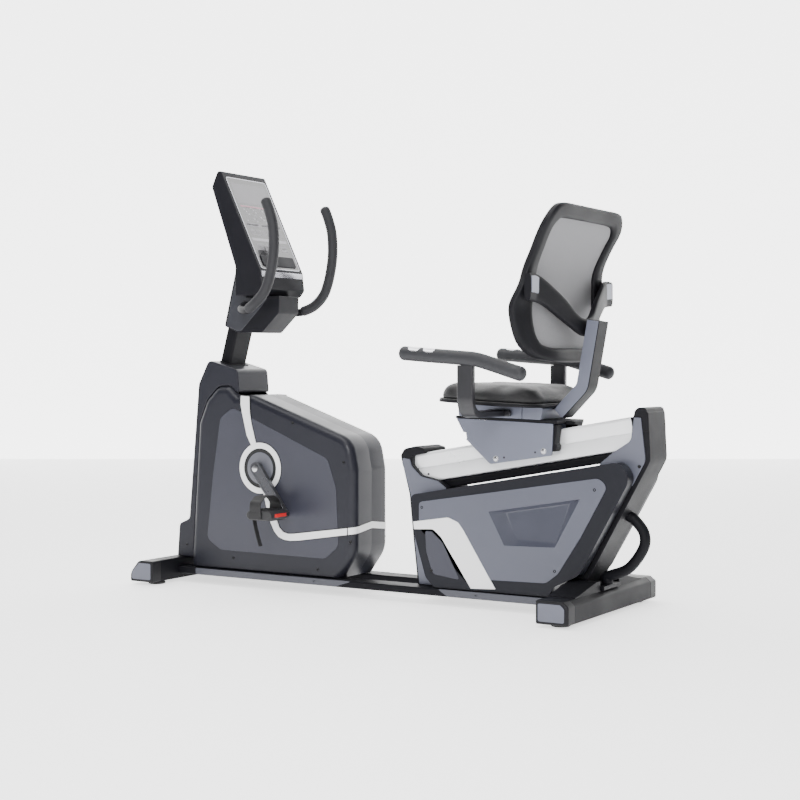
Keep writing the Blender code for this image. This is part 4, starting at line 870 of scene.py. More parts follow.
end_faces = [f for f in rail_body.faces if abs(f.normal.x) > 0.9]
bmesh.ops.delete(rail_body, geom=end_faces, context="FACES")
bmesh.ops.transform(rail_body, matrix=rail_place, verts=rail_body.verts)
rail_piece = to_piece("slide_rail", rail_body, aluminium_painted_highlight, "base", "rail_aluminium",
                      "seat_rail")
walled(rail_piece, 0.002)
rail_screw = bmesh.new()
for side_name, side in SIDES:
    at = rail_place @ Vector((0.042, 0.0, -0.066))
    add_shape(rail_screw, screw_head((at.x, at.z), side * (RAIL_HALF - 0.001), side, 0.0034))
to_piece("rail_screws", rail_screw, screw_black, "base", "rail_aluminium")

post_low, post_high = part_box("rear_post")
POST_HALF = post_high.y
POST_KNEE = Vector((post_high.x - 0.001, 0.450))
POST_LOW = Vector((0.672, 0.0883))
FLANGE_REAR = 0.731
post_core = rounded([
    (0.640, post_low.z, 0.002), (FLANGE_REAR, post_low.z, 0.002), (FLANGE_REAR, POST_LOW.y, 0.002),
    (*POST_LOW, 0.003), (*POST_KNEE, 0.045), (0.862, 0.590, 0.010), (0.822, 0.583, 0.010),
    (0.817, 0.572, 0.010), (0.811, 0.505, 0.026), (0.756, 0.468, 0.022), (0.718, 0.437, 0.022),
    (0.640, 0.280, 0.06), (0.608, 0.150, 0.03)], 0.004, 6)
post = plate(post_core, "Y", -POST_HALF + 0.003, POST_HALF - 0.003, 0.002, 2)
# Painted shade: the black core stands for the post's shaded end faces.
to_piece("post_core", post, moulded_black_and_shade, "base", "silver_panel", "rear_post")
cheek_outline = rounded([
    (0.690, 0.3780), (0.8165, 0.3780), (0.8560, 0.450, 0.040), (0.8420, 0.570, 0.006),
    (0.8205, 0.5705, 0.004), (0.8125, 0.505, 0.024), (0.757, 0.4695, 0.020), (0.719, 0.4385, 0.020)],
    0.004, 8)
bracket_low, bracket_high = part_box("rail_front_bracket")
BRACKET_HALF = bracket_high.y
bracket_core = rounded([
    (0.118, bracket_low.z, 0.002), (0.205, bracket_low.z, 0.002), (0.192, 0.075, 0.01),
    (0.156, 0.215, 0.03), (0.222, 0.347, 0.008), (0.189, 0.3695, 0.024), (0.129, 0.3815, 0.026),
    (0.0985, 0.412, 0.014), (0.0985, 0.4405, 0.004), (0.1425, 0.4500, 0.006),
    (0.138, 0.4645, 0.008), (0.112, 0.4710, 0.012), (0.070, 0.4620, 0.020), (0.0565, 0.440, 0.016),
    (0.088, 0.324, 0.030), (0.104, 0.170, 0.03)], 0.004, 8)
bracket = slab(bracket_core, "Y", -BRACKET_HALF + 0.003, BRACKET_HALF - 0.003)
# Painted shade: the black core stands for the bracket's shaded end faces.
to_piece("bracket_core", bracket, moulded_black_and_shade, "base", "silver_panel", "rail_front_bracket")
bracket_cheek = rounded([
    (0.124, bracket_low.z + 0.001, 0.002), (0.203, bracket_low.z + 0.001, 0.002),
    (0.190, 0.076, 0.01), (0.155, 0.215, 0.03), (0.218, 0.347, 0.006), (0.189, 0.3675, 0.024),
    (0.129, 0.3790, 0.026), (0.0960, 0.410, 0.016), (0.0905, 0.430, 0.004), (0.0660, 0.4335, 0.004),
    (0.062, 0.420, 0.01), (0.0935, 0.324, 0.030), (0.1095, 0.170, 0.03)], 0.004, 8)
# Painted light: the grey cheeks stand for the lit sides of the post and the bracket.
for side_name, side in SIDES:
    for name, outline, half in (("post_cheek", cheek_outline, POST_HALF),
                                ("bracket_cheek", bracket_cheek, BRACKET_HALF)):
        inner, outer = side * (half - 0.003), side * half
        near, far = sorted((inner, outer))
        cheek = slab(outline, "Y", near, far)
        soften(cheek, level_edges(cheek, "Y", outer), 0.0014, 3)
        to_piece(f"{name}_{side_name}", cheek, lit_side_grey, "base", "silver_panel")
post_screws = bmesh.new()
for side_name, side in SIDES:
    add_shape(post_screws, screw_head((0.838, 0.433), side * POST_HALF, side, 0.0050))
to_piece("post_screws", post_screws, screw_black, "base", "silver_panel")
cap_outline = rounded([
    (0.8200, 0.5712, 0.003), (0.8420, 0.5712, 0.003), (0.8470, 0.530, 0.01), (0.8650, 0.530, 0.006),
    (0.8615, 0.580, 0.012), (0.856, post_high.z - 0.0005, 0.018),
    (0.832, post_high.z - 0.0005, 0.018), (0.822, 0.588, 0.010)], 0.01, 8)
cap = plate(cap_outline, "Y", -POST_HALF, POST_HALF, 0.006, 4)
to_piece("post_cap", cap, moulded_black_and_shade, "base", "black_plastic")
bracket_cap = plate(rounded([
    (0.0615, 0.4340, 0.004), (0.0965, 0.4300, 0.004), (0.0985, 0.4405, 0.004), (0.1425, 0.4500, 0.006),
    (0.138, 0.4645, 0.008), (0.112, 0.4710, 0.012), (0.070, 0.4620, 0.020), (0.0565, 0.440, 0.010)],
    0.01, 8), "Y", -BRACKET_HALF, BRACKET_HALF, 0.004, 4)
to_piece("bracket_cap", bracket_cap, moulded_black_and_shade, "base", "black_plastic")


# ------------------------------------------------------------------ mast cover and console
# A two-part ABS cover joins the mast to the console. Its slate sides are painted light where the
# light falls and its black rear is painted shade. The console is one black moulding with a silver
# bead, a printed glossy panel and a small tray.

# Painted light: this slate stands for the lit sides of the mast cover.
lit_cover_side = finish_of("lit_cover_side", (0.020, 0.021, 0.028), 0.40, grain=1500, bump=0.14)
# Black console; also painted shade on the mast cover's rear.
black_console_and_shade = finish_of("black_console_and_shade", (0.008, 0.008, 0.011), 0.46, grain=1500, bump=0.20,
                          dust=0.005, specular=0.16)
silver_bead = finish_of("silver_bead", (0.46, 0.46, 0.50), 0.24, grain=900, bump=0.03, metallic=0.8)
display_black = finish_of("display_black", (0.012, 0.012, 0.015), 0.14, grain=300, bump=0.02,
                          coat=0.6, coat_roughness=0.05)
print_grey = finish_of("print_grey", (0.105, 0.100, 0.115), 0.20, grain=300, bump=0.02, mottle=0.25,
                       coat=0.4)
print_pale = finish_of("print_pale", (0.30, 0.29, 0.32), 0.22, grain=300, bump=0.02, coat=0.4)
print_rose = finish_of("print_rose", (0.34, 0.13, 0.18), 0.22, grain=300, bump=0.02, coat=0.4)

MAST_COVER_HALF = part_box("mast_cover")[1].y
mast_cover_outline = rounded([
    (-0.629, 0.846, 0.008), (-0.579, 1.042, 0.006), (-0.5375, 1.042, 0.004),
    (-0.5375, 0.9398, 0.002), (-0.408, 0.9398, 0.004), (-0.410, 0.885, 0.014),
    (-0.478, 0.822, 0.014), (-0.578, 0.824, 0.012)], 0.008, 8)
mast_shell = plate(mast_cover_outline, "Y", -MAST_COVER_HALF + 0.001, MAST_COVER_HALF - 0.001,
                   0.007, 4)
# Painted shade: the black core stands for the cover's shaded rear.
to_piece("mast_cover_core", mast_shell, black_console_and_shade, "base", "silver_panel", "mast_cover")
side_panel = rounded([
    (-0.6225, 0.8465, 0.008), (-0.577, 1.030, 0.004), (-0.5405, 1.030, 0.003), (-0.5405, 0.936, 0.004),
    (-0.452, 0.936, 0.004), (-0.480, 0.905, 0.02), (-0.560, 0.829, 0.014), (-0.577, 0.828, 0.010)],
    0.006, 8)
# Painted light: the slate panels stand for the cover's lit sides.
for side_name, side in SIDES:
    near, far = sorted((side * (MAST_COVER_HALF - 0.004), side * MAST_COVER_HALF))
    panel = slab(side_panel, "Y", near, far)
    soften(panel, level_edges(panel, "Y", side * MAST_COVER_HALF), 0.003, 4)
    to_piece(f"mast_cover_panel_{side_name}", panel, lit_cover_side, "base", "silver_panel")

CONSOLE_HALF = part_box("console_housing")[1].y
FACE_LOW = Vector((-0.4418, 1.0300))
FACE_HIGH = Vector((-0.5866, 1.3312))
face_up = (FACE_HIGH - FACE_LOW).normalized()
face_out = Vector((face_up.y, -face_up.x))
FACE_LENGTH = (FACE_HIGH - FACE_LOW).length
console_outline = rounded([
    (-0.607, 1.345, 0.012), (-0.630, 1.296, 0.016), (-0.5352, 1.035, 0.020),
    (-0.5364, 0.9407, 0.004), (-0.447, 0.9407, 0.012), (-0.430, 0.962, 0.010),
    (-0.437, 1.020, 0.008), (-0.5935, 1.3455, 0.006)], 0.008, 8)
console_body = plate(console_outline, "Y", -CONSOLE_HALF, CONSOLE_HALF, 0.008, 5)
to_piece("console_shell", console_body, black_console_and_shade, "base", "black_plastic", "console_housing")


def on_face(u, v, lift):
    """A place on the console's face: u across, v up from its lower edge, lifted off it."""
    spot = FACE_LOW + face_up * v + face_out * lift
    return Vector((spot.x, u, spot.y))


def face_panel(outline, low, high):
    """A printed or moulded panel on the console's face."""
    shape = slab(outline, "Z", low, high)
    for vert in shape.verts:
        u, v, lift = vert.co
        vert.co = on_face(u, v, lift)
    bmesh.ops.recalc_face_normals(shape, faces=shape.faces)
    return shape


def box_of(u_low, u_high, v_low, v_high):
    return [(u_low, v_low), (u_high, v_low), (u_high, v_high), (u_low, v_high)]


SCREEN_HALF = CONSOLE_HALF - 0.013
lens_outline = rounded(box_of(-SCREEN_HALF, SCREEN_HALF, -0.004, FACE_LENGTH - 0.004), 0.012, 8)
bead_inner = inset(lens_outline, 0.0022)
bead = filled(inset(lens_outline, -0.0004), bead_inner, 0.0, 0.0012, "Z")
for vert in bead.verts:
    u, v, lift = vert.co
    vert.co = on_face(u, v, lift)
bmesh.ops.recalc_face_normals(bead, faces=bead.faces)
to_piece("console_bead", bead, silver_bead, "base", "silver_panel")
lens = face_panel(inset(lens_outline, 0.0023), -0.001, 0.0009)
to_piece("console_lens", lens, display_black, "base", "screen_glass", "console_screen")

graphics = {"grey": bmesh.new(), "pale": bmesh.new(), "rose": bmesh.new()}


def printed(tone, u_low, u_high, v_low, v_high):
    add_shape(graphics[tone], face_panel(box_of(u_low, u_high, v_low, v_high), 0.00085, 0.00105))


printed("grey", -0.094, 0.094, 0.236, 0.310)
for row in range(7):
    for column in range(16):
        if (row * 5 + column * 7) % 11 < 8:
            u = -0.078 + column * 0.0100
            printed("pale" if (row + column) % 5 == 0 else "grey", u, u + 0.0066,
                    0.170 + row * 0.0082, 0.175 + row * 0.0082)
printed("rose", -0.086, 0.086, 0.222, 0.2285)
printed("grey", -0.094, 0.094, 0.1500, 0.1640)
printed("pale", -0.090, -0.030, 0.1540, 0.1600)
printed("pale", -0.010, 0.090, 0.1540, 0.1600)
for column in range(6):
    u = -0.084 + column * 0.0290
    printed("grey", u, u + 0.023, 0.1180, 0.1400)
    printed("pale", u + 0.004, u + 0.019, 0.1270, 0.1305)
printed("pale", -0.094, 0.094, 0.0980, 0.1080)
for column in range(4):
    u = -0.082 + column * 0.0430
    printed("grey", u, u + 0.034, 0.0640, 0.0880)
    printed("rose" if column == 3 else "pale", u + 0.006, u + 0.028, 0.0745, 0.0785)
for tone, material in (("grey", print_grey), ("pale", print_pale), ("rose", print_rose)):
    to_piece(f"console_print_{tone}", graphics[tone], material, "base", "screen_glass")

tray = face_panel(rounded(box_of(-0.090, 0.090, 0.006, 0.044), 0.006, 5), 0.0009, 0.0042)
soften(tray, [e for e in tray.edges if e.calc_face_angle(0) > 1.0], 0.0012, 2)
to_piece("console_tray", tray, black_console_and_shade, "base", "black_plastic")
lip_slope = (Vector((-0.437, 1.020)) - Vector((-0.430, 0.962))).normalized()
lip_out = Vector((lip_slope.y, -lip_slope.x))
lip_line = [Vector((-0.4345, 1.0005)), Vector((-0.4362, 1.0150)), Vector((-0.4400, 1.0218)),
            Vector((-0.4445, 1.0290))]
lip = slab([tuple(p + lip_out * 0.0012) for p in lip_line]
           + [tuple(p - lip_out * 0.002) for p in lip_line[::-1]], "Y", -CONSOLE_HALF + 0.008,
           CONSOLE_HALF - 0.008)
to_piece("console_lip", lip, silver_bead, "base", "silver_panel")


# ------------------------------------------------------------------ handlebar and foam grips
# One bent steel tube runs through the mast cover and rises as two horns. Closed-cell foam sleeves
# are slid over the horns and end in soft domes.

foam_black = finish_of("foam_black", (0.010, 0.010, 0.013), 0.66, grain=2600, bump=0.5,
                       bump_depth=0.0004, mottle=0.08)
foam_grey = finish_of("foam_grey", (0.014, 0.0145, 0.018), 0.60, grain=2600, bump=0.45,
                      bump_depth=0.0004, mottle=0.08)


def swept(path, radii, sides=24):
    """A round bar along a path, closed at both ends, with one radius for each point."""
    shape = bmesh.new()
    points = [Vector(p) for p in path]
    tangents = [(points[min(i + 1, len(points) - 1)] - points[max(i - 1, 0)]).normalized()
                for i in range(len(points))]
    across = tangents[0].orthogonal().normalized()
    rings = []
    for point, tangent, radius in zip(points, tangents, radii):
        across = (across - tangent * across.dot(tangent)).normalized()
        up = tangent.cross(across)
        turns = [math.tau * i / sides for i in range(sides)]
        rings.append([shape.verts.new(point + (across * math.cos(t) + up * math.sin(t)) * radius)
                      for t in turns])
    for a, b in zip(rings, rings[1:]):
        for i in range(sides):
            shape.faces.new((a[i - 1], a[i], b[i], b[i - 1]))
    shape.faces.new(rings[0])
    shape.faces.new(rings[-1])
    bmesh.ops.recalc_face_normals(shape, faces=shape.faces)
    return shape


def domed(path, radius, cap):
    """A path with its ends drawn in over a length, and the radius at each point of it."""
    points = [Vector(p) for p in path]
    steps = [1.0, 0.985, 0.93, 0.84, 0.70, 0.50, 0.26, 0.06]
    result, radii = [], []
    lengths = [0.0]
    for a, b in zip(points, points[1:]):
        lengths.append(lengths[-1] + (b - a).length)

    def at(distance):
        for i, start in enumerate(lengths[:-1]):
            if distance <= lengths[i + 1]:
                share = (distance - start) / (lengths[i + 1] - start)
                return points[i].lerp(points[i + 1], share)
        return points[-1]

    for share in steps[::-1]:
        result.append(at(cap * (1 - math.sqrt(1 - share * share)) if share < 1 else cap))
        radii.append(radius * share)
    for point, length in zip(points, lengths):
        if cap * 1.05 < length < lengths[-1] - cap * 1.05:
            result.append(point)
            radii.append(radius)
    for share in steps:
        back = cap * (1 - math.sqrt(1 - share * share)) if share < 1 else cap
        result.append(at(lengths[-1] - back))
        radii.append(radius * share)
    return result, radii


BAR_AT = Vector((-0.5445, 0.905))
BAR_RADIUS = 0.0127
GRIP_RADIUS = 0.0165
half_bar = [
    (BAR_AT.x, 0.0, BAR_AT.y), (BAR_AT.x, 0.030, BAR_AT.y), (BAR_AT.x, 0.062, BAR_AT.y),
    (-0.516, 0.112, 0.897), (-0.466, 0.147, 0.893), (-0.425, 0.163, 0.912), (-0.388, 0.165, 0.945),
    (-0.368, 0.165, 0.985), (-0.354, 0.165, 1.040), (-0.348, 0.165, 1.095),
    (-0.352, 0.165, 1.155), (-0.367, 0.165, 1.205), (-0.384, 0.165, 1.242)]
bar_line = smooth_line([(x, -y, z) for x, y, z in half_bar[:0:-1]] + half_bar, 5)
bar = swept(bar_line[10:-10], [BAR_RADIUS] * (len(bar_line) - 20))
to_piece("handle_tube", bar, black_coat, "base", "base_black", "handlebar")
GRIP_KNOTS = 9
for side_name, side in SIDES:
    knots = [(x, side * y, z) for x, y, z in half_bar[-GRIP_KNOTS:]]
    grip_line, grip_radii = domed(smooth_line(knots, 6), GRIP_RADIUS, 0.012)
    grip = to_piece(f"grip_sleeve_{side_name}", swept(grip_line, grip_radii, 28), foam_black,
                    "base", "foam_grip", f"handlebar_grip_{side_name}")
    flange = turned([(0.0, 0.0), (0.0185, 0.0), (0.0195, 0.002), (0.0180, 0.006), (0.0, 0.006)],
                    BAR_AT, "Y", 32, side)
    bmesh.ops.translate(flange, vec=(0, side * MAST_COVER_HALF, 0), verts=flange.verts)
    to_piece(f"bar_flange_{side_name}", flange, black_console_and_shade, "base", "black_plastic")


# ------------------------------------------------------------------ rear housing and lift handle
# Two shells flank the rail: a slate field with a sculpted pocket inside a broad, rounded rim.
# The rim's darker tone is painted shade on its roll, the field's lighter tone is painted light
# on the flat face, and the pocket's darker floor is painted shade in the recess. A white
# chevron is laid in the front lower corner. A bent tube at the back lifts the bike.

# Painted light and shade: the rim is painted darker as shade, the field lighter as lit, the pocket darker
# as shade.
shaded_rim = finish_of("shaded_rim", (0.009, 0.0095, 0.014), 0.36, grain=1500, bump=0.12, dust=0.005,
                     specular=0.20)
lit_rear_field = finish_of("slate_rear_field_lit", (0.078, 0.083, 0.112), 0.36, grain=1500, bump=0.16,
                        mottle=0.10, specular=0.55)
shaded_pocket = finish_of("shaded_pocket", (0.048, 0.051, 0.072), 0.38, grain=1500, bump=0.16)

rear_shell_low, rear_shell_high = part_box("rear_shell_left")
REAR_HALF = -rear_shell_low.y
REAR_INNER = -rear_shell_high.y
REAR_ROLL = 0.030
rear_outline = rounded([
    (0.226, 0.030, 0.0), (0.172, 0.080, 0.040), (0.128, 0.222, 0.040), (0.118, 0.326, 0.022),
    (0.800, 0.447, 0.050), (0.830, 0.400, 0.050), (0.750, 0.255, 0.080), (0.674, 0.120, 0.050),
    (0.600, 0.084, 0.020), (0.560, 0.030, 0.0)], 0.02, 10)
rear_field = rounded([
    (0.150, 0.306), (0.736, 0.399, 0.030), (0.762, 0.376, 0.030), (0.682, 0.232, 0.10),
    (0.610, 0.121, 0.05), (0.572, 0.092, 0.03), (0.330, 0.087, 0.01), (0.296, 0.238, 0.05),
    (0.254, 0.266, 0.03), (0.150, 0.248, 0.006)], 0.014, 8)
pocket_rim = [(0.386, 0.288), (0.679, 0.338), (0.600, 0.196), (0.438, 0.192)]
pocket_floor = [(0.436, 0.287, 0.0150), (0.640, 0.322, 0.0130), (0.606, 0.206, 0.0030),
                (0.473, 0.209, 0.0060)]
lower_panel = rounded([
    (0.171, 0.2200), (0.194, 0.2205), (0.232, 0.188, 0.03), (0.290, 0.081), (0.198, 0.092, 0.02),
    (0.175, 0.159, 0.03)], 0.006, 6)
rear_trim = rounded([
    (0.130, 0.246, 0.002), (0.250, 0.2645, 0.026), (0.284, 0.2520, 0.022), (0.302, 0.230, 0.03),
    (0.410, 0.062, 0.002), (0.328, 0.058, 0.002), (0.226, 0.205, 0.02), (0.199, 0.2265, 0.02),
    (0.133, 0.223, 0.002)], 0.002, 8)
POCKET_BACK = 0.0200
rear_screws = [(0.160, 0.290), (0.193, 0.102), (0.723, 0.366), (0.600, 0.128)]


def on_hole(edge):
    """Whether an edge of the shell lies on its pocket's rim."""
    return all(min((Vector((v.co.x, v.co.z)) - Vector(p)).length for p in pocket_rim) < 1e-5
               for v in edge.verts)


def stepped_field(outline, outer, rise, side, hole=None):
    """A raised panel with a soft rim on a shell's side, with an optional hole."""
    near, far = sorted((outer - side * 0.0005, outer + side * rise))
    panel = filled(outline, hole, near, far) if hole else slab(outline, "Y", near, far)
    rim = [e for e in level_edges(panel, "Y", outer + side * rise) if e.calc_face_angle(0) > 1.0]
    soften(panel, rim, rise * 0.8, 3)
    return panel


for side_name, side in SIDES:
    outer = side * REAR_HALF
    inner = side * REAR_INNER
    shell = filled(rear_outline, pocket_rim, *sorted((inner, outer)))
    outer_rim = [e for e in level_edges(shell, "Y", outer)
                 if e.calc_face_angle(0) > 1.0 and not on_hole(e)]
    soften(shell, outer_rim, REAR_ROLL, 9)
    every = shell.verts[:] + shell.edges[:] + shell.faces[:]
    cut = bmesh.ops.bisect_plane(shell, geom=every, plane_co=(0, 0, rear_shell_low.z),
                                 plane_no=(0, 0, -1), clear_outer=True)["geom_cut"]
    bmesh.ops.holes_fill(shell, edges=[e for e in cut if isinstance(e, bmesh.types.BMEdge)])
    bmesh.ops.recalc_face_normals(shell, faces=shell.faces)
    to_piece(f"rear_housing_{side_name}", shell, shaded_rim, "base", "housing_grey",
             f"rear_shell_{side_name}")
    field = stepped_field(rear_field, outer, 0.0016, side, pocket_rim)
    to_piece(f"rear_field_{side_name}", field, lit_rear_field, "base", "housing_grey")
    pocket = bmesh.new()
    rim_loop = [pocket.verts.new((x, outer + side * 0.0012, z)) for x, z in pocket_rim]
    floor_loop = [pocket.verts.new((x, outer - side * depth, z)) for x, z, depth in pocket_floor]
    back_loop = [pocket.verts.new((x, outer - side * POCKET_BACK, z)) for x, z in pocket_rim]
    for i in range(4):
        pocket.faces.new((rim_loop[i - 1], rim_loop[i], floor_loop[i], floor_loop[i - 1]))
        pocket.faces.new((rim_loop[i], rim_loop[i - 1], back_loop[i - 1], back_loop[i]))
    pocket.faces.new(floor_loop)
    pocket.faces.new(back_loop[::-1])
    bmesh.ops.recalc_face_normals(pocket, faces=pocket.faces)
    inner_edges = [e for e in pocket.edges if all(v in floor_loop for v in e.verts)]
    soften(pocket, inner_edges, 0.006, 4)
    # Painted shade: the pocket's darker colour stands for the shade in the recess.
    to_piece(f"rear_pocket_{side_name}", pocket, shaded_pocket, "base", "housing_grey")
    # Painted light: the lower panel's lighter colour stands for the light on its flat face.
    to_piece(f"rear_lower_panel_{side_name}", stepped_field(lower_panel, outer, 0.0012, side),
             lit_side_field, "base", "housing_grey")
    # Painted shadow: a black outline just wider than the chevron, for the shadow line along its edge.
    shadow_strip = stepped_field(inset(rear_trim, -0.0022), outer, 0.0010, side)
    to_piece(f"rear_inlay_shadow_{side_name}", shadow_strip, painted_shadow_black, "base", "housing_grey")
    inlay = stepped_field(rear_trim, outer, 0.0026, side)
    to_piece(f"rear_inlay_{side_name}", inlay, gloss_white, "base", "white_trim",
             f"rear_trim_{side_name}")
    screws = bmesh.new()
    for place in rear_screws:
        add_shape(screws, screw_head(place, outer + side * 0.0010, side, 0.0046))
    to_piece(f"rear_screws_{side_name}", screws, screw_black, "base", "housing_grey")

post_way = (POST_LOW - POST_KNEE).normalized()
post_normal = Vector((-post_way.y, post_way.x))
handle_top = POST_LOW.lerp(POST_KNEE, (0.286 - POST_LOW.y) / (POST_KNEE.y - POST_LOW.y))
handle_low, handle_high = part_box("lift_handle")
HANDLE_RADIUS = handle_high.y
handle_foot = Vector((FLANGE_REAR - HANDLE_RADIUS - 0.001, handle_low.z))
handle_knots = [
    *(tuple(handle_top + post_normal * out) for out in (-0.004, 0.008, 0.020)),
    (0.826, 0.240), (0.824, 0.196), (0.779, 0.136),
    *((handle_foot.x, handle_foot.y + up) for up in (0.020, 0.008, -0.003))]
handle_line = smooth_line([(x, 0.0, z) for x, z in handle_knots], 7)
to_piece("lift_tube", swept(handle_line, [HANDLE_RADIUS] * len(handle_line), 28), black_coat,
         "base", "base_black", "lift_handle")


# ------------------------------------------------------------------ beam trims and foot covers
# Slate strips clip over the outer sides of the beams under each housing. A moulded cover shoulders
# over each end of the rear foot bar, and a slate plate on every end cap's outer face is painted
# light on that face of the black cap.

trim_slate = finish_of("trim_slate", (0.055, 0.057, 0.072), 0.36, grain=1200, bump=0.10)
BEAM_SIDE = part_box("base_beam_right")[1].y
strips = (
    ("front_strip", [(-0.700, 0.0500), (-0.085, 0.0500), (-0.146, 0.0300), (-0.700, 0.0300)], -0.227),
    ("rear_strip", [(0.218, 0.0500), (0.600, 0.0500), (0.590, 0.0300), (0.251, 0.0300)], 0.348))
for strip_name, outline, screw_x in strips:
    for side_name, side in SIDES:
        near, far = sorted((side * (BEAM_SIDE - 0.001), side * (BEAM_SIDE + 0.0022)))
        strip = slab(rounded(outline, 0.003, 4), "Y", near, far)
        soften(strip, level_edges(strip, "Y", side * (BEAM_SIDE + 0.0022)), 0.0012, 2)
        add_shape(strip, screw_head((screw_x, 0.0405), side * (BEAM_SIDE + 0.0018), side, 0.0034))
        to_piece(f"{strip_name}_{side_name}", strip, trim_slate, "base", "silver_panel")

for side_name, side in SIDES:
    shoulder_section = [(side * 0.066, 0.0600), (side * 0.236, 0.0600), (side * 0.236, 0.0775),
                        (side * 0.205, 0.0815, 0.02), (side * 0.092, 0.1035, 0.01),
                        (side * 0.066, 0.1035, 0.004)]
    if side < 0:
        shoulder_section.reverse()
    shoulder = plate(rounded(shoulder_section, 0.001, 5), "X", rear_low.x - 0.003,
                     rear_high.x - 0.016, 0.004, 3)
    to_piece(f"foot_shoulder_{side_name}", shoulder, moulded_black_and_shade, "base", "black_plastic")
    cap_face_outlines = (
        ("front", [(front_low.x + 0.007, 0.018), (front_high.x - 0.008, 0.018),
                   (front_high.x - 0.008, front_high.z - 0.008),
                   (front_low.x + 0.036, front_high.z - 0.008),
                   (front_low.x + 0.007, front_high.z - 0.038)]),
        ("rear", [(rear_low.x + 0.008, 0.018), (rear_high.x - 0.012, 0.018),
                  (rear_high.x - 0.012, 0.056), (rear_high.x - 0.024, 0.067),
                  (rear_low.x + 0.008, 0.067)]))
    # Painted light: each slate plate stands for the lit outer face of a black end cap.
    for end_name, outline in cap_face_outlines:
        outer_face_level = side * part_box(f"{end_name}_end_cap_right")[1].y
        near, far = sorted((outer_face_level - side * 0.001, outer_face_level + side * 0.0007))
        lit_face_plate = slab(rounded(outline, 0.006, 6), "Y", near, far)
        to_piece(f"{end_name}_badge_{side_name}", lit_face_plate, lit_cap_face, "base", "end_cap_grey")


# ------------------------------------------------------------------ seat carriage and base
# Two folded steel cheeks straddle the rail and carry the seat on rollers. A black top plate and a
# pressed, two-part slate base sit on them, with the adjuster lever through the cheeks.

# The carriage's own grey; also painted light on the back post's sides and the brace's wings.
grey_carriage_and_painted_light = finish_of("grey_carriage_and_painted_light", (0.150, 0.160, 0.208), 0.33, grain=1800, bump=0.08,
                          mottle=0.08, metallic=0.35, coat=0.15)
CARRIAGE_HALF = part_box("seat_carriage")[1].y
cheek = rounded([
    (0.2665, 0.5590, 0.002), (0.290, 0.5185, 0.002), (0.2985, 0.5170, 0.001), (0.3015, 0.5000, 0.001),
    (0.2985, 0.4975, 0.001), (0.380, 0.4260, 0.012), (0.580, 0.4570, 0.008), (0.5840, 0.5480, 0.003)],
    0.004, 6)
for side_name, side in SIDES:
    outer = side * CARRIAGE_HALF
    near, far = sorted((outer - side * 0.005, outer))
    side_plate = plate(cheek, "Y", near, far, 0.0014, 3)
    to_piece(f"carriage_cheek_{side_name}", side_plate, grey_carriage_and_painted_light, "seat", "silver_panel",
             *(["seat_carriage"] if side < 0 else []))
    bolts, holes = bmesh.new(), bmesh.new()
    for place in ((0.399, 0.4425), (0.554, 0.4690)):
        bolt = turned([(0.0, 0.0036), (0.0045, 0.0034), (0.0068, 0.0022), (0.0074, 0.0004),
                       (0.0088, 0.0004), (0.0088, -0.001)], place, "Y", 28, side)
        bmesh.ops.translate(bolt, vec=(0, outer, 0), verts=bolt.verts)
        add_shape(bolts, bolt)
    # Painted shade: black discs stand for the shade inside the cheek's holes.
    for place in ((0.426, 0.4470), (0.527, 0.4650)):
        hole = turned([(0.0, 0.0003), (0.0030, 0.0003), (0.0036, -0.001)], place, "Y", 20, side)
        bmesh.ops.translate(hole, vec=(0, outer, 0), verts=hole.verts)
        add_shape(holes, hole)
    to_piece(f"carriage_bolts_{side_name}", bolts, bolt_steel, "seat", "machined_steel")
    to_piece(f"carriage_holes_{side_name}", holes, painted_shadow_black, "seat", "black_plastic")
    near, far = sorted((side * (RAIL_HALF + 0.004), outer - side * 0.0052))
    block = plate(rounded([(0.555, 0.466), (0.5905, 0.4690), (0.5935, 0.485), (0.5880, 0.493),
                           (0.5950, 0.545), (0.555, 0.545)], 0.004, 5), "Y", near, far, 0.002, 2)
    to_piece(f"roller_housing_{side_name}", block, moulded_black_and_shade, "seat", "black_plastic")
deck = plate(rounded([(0.2640, 0.5592, 0.001), (0.5960, 0.5482, 0.001), (0.5960, 0.5568, 0.002),
                      (0.2640, 0.5668, 0.002)], 0.001, 3), "Y", -CARRIAGE_HALF, CARRIAGE_HALF,
             0.0012, 2)
to_piece("carriage_deck", deck, moulded_black_and_shade, "seat", "black_plastic")
tongue = plate(rounded([(0.590, 0.5445), (0.622, 0.5440), (0.624, 0.5540), (0.590, 0.5550)],
                       0.002, 4), "Y", -0.030, 0.030, 0.0015, 2)
to_piece("carriage_tongue", tongue, moulded_black_and_shade, "seat", "black_plastic")

SEAT_BASE_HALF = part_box("seat_base")[1].y
base_parts = (
    ("seat_base_front", [(0.279, 0.5672, 0.004), (0.276, 0.6015, 0.006), (0.4872, 0.5960, 0.001),
                         (0.4872, 0.5612, 0.001)]),
    ("seat_base_rear", [(0.4892, 0.5612, 0.001), (0.4892, 0.5960, 0.001), (0.5550, 0.5940, 0.006),
                        (0.5480, 0.5592, 0.005)]))
for part_name, outline in base_parts:
    part = plate(rounded(outline, 0.004, 6), "Y", -SEAT_BASE_HALF, SEAT_BASE_HALF, 0.004, 4)
    to_piece(part_name, part, grey_carriage_and_painted_light, "seat", "silver_panel",
             *(["seat_base"] if part_name == "seat_base_front" else []))


# ------------------------------------------------------------------ cushion
# Moulded foam on a black board under a stretched black cover, blown up a little so that its top
# crowns and its rim rolls over. A welt runs round it above the board.

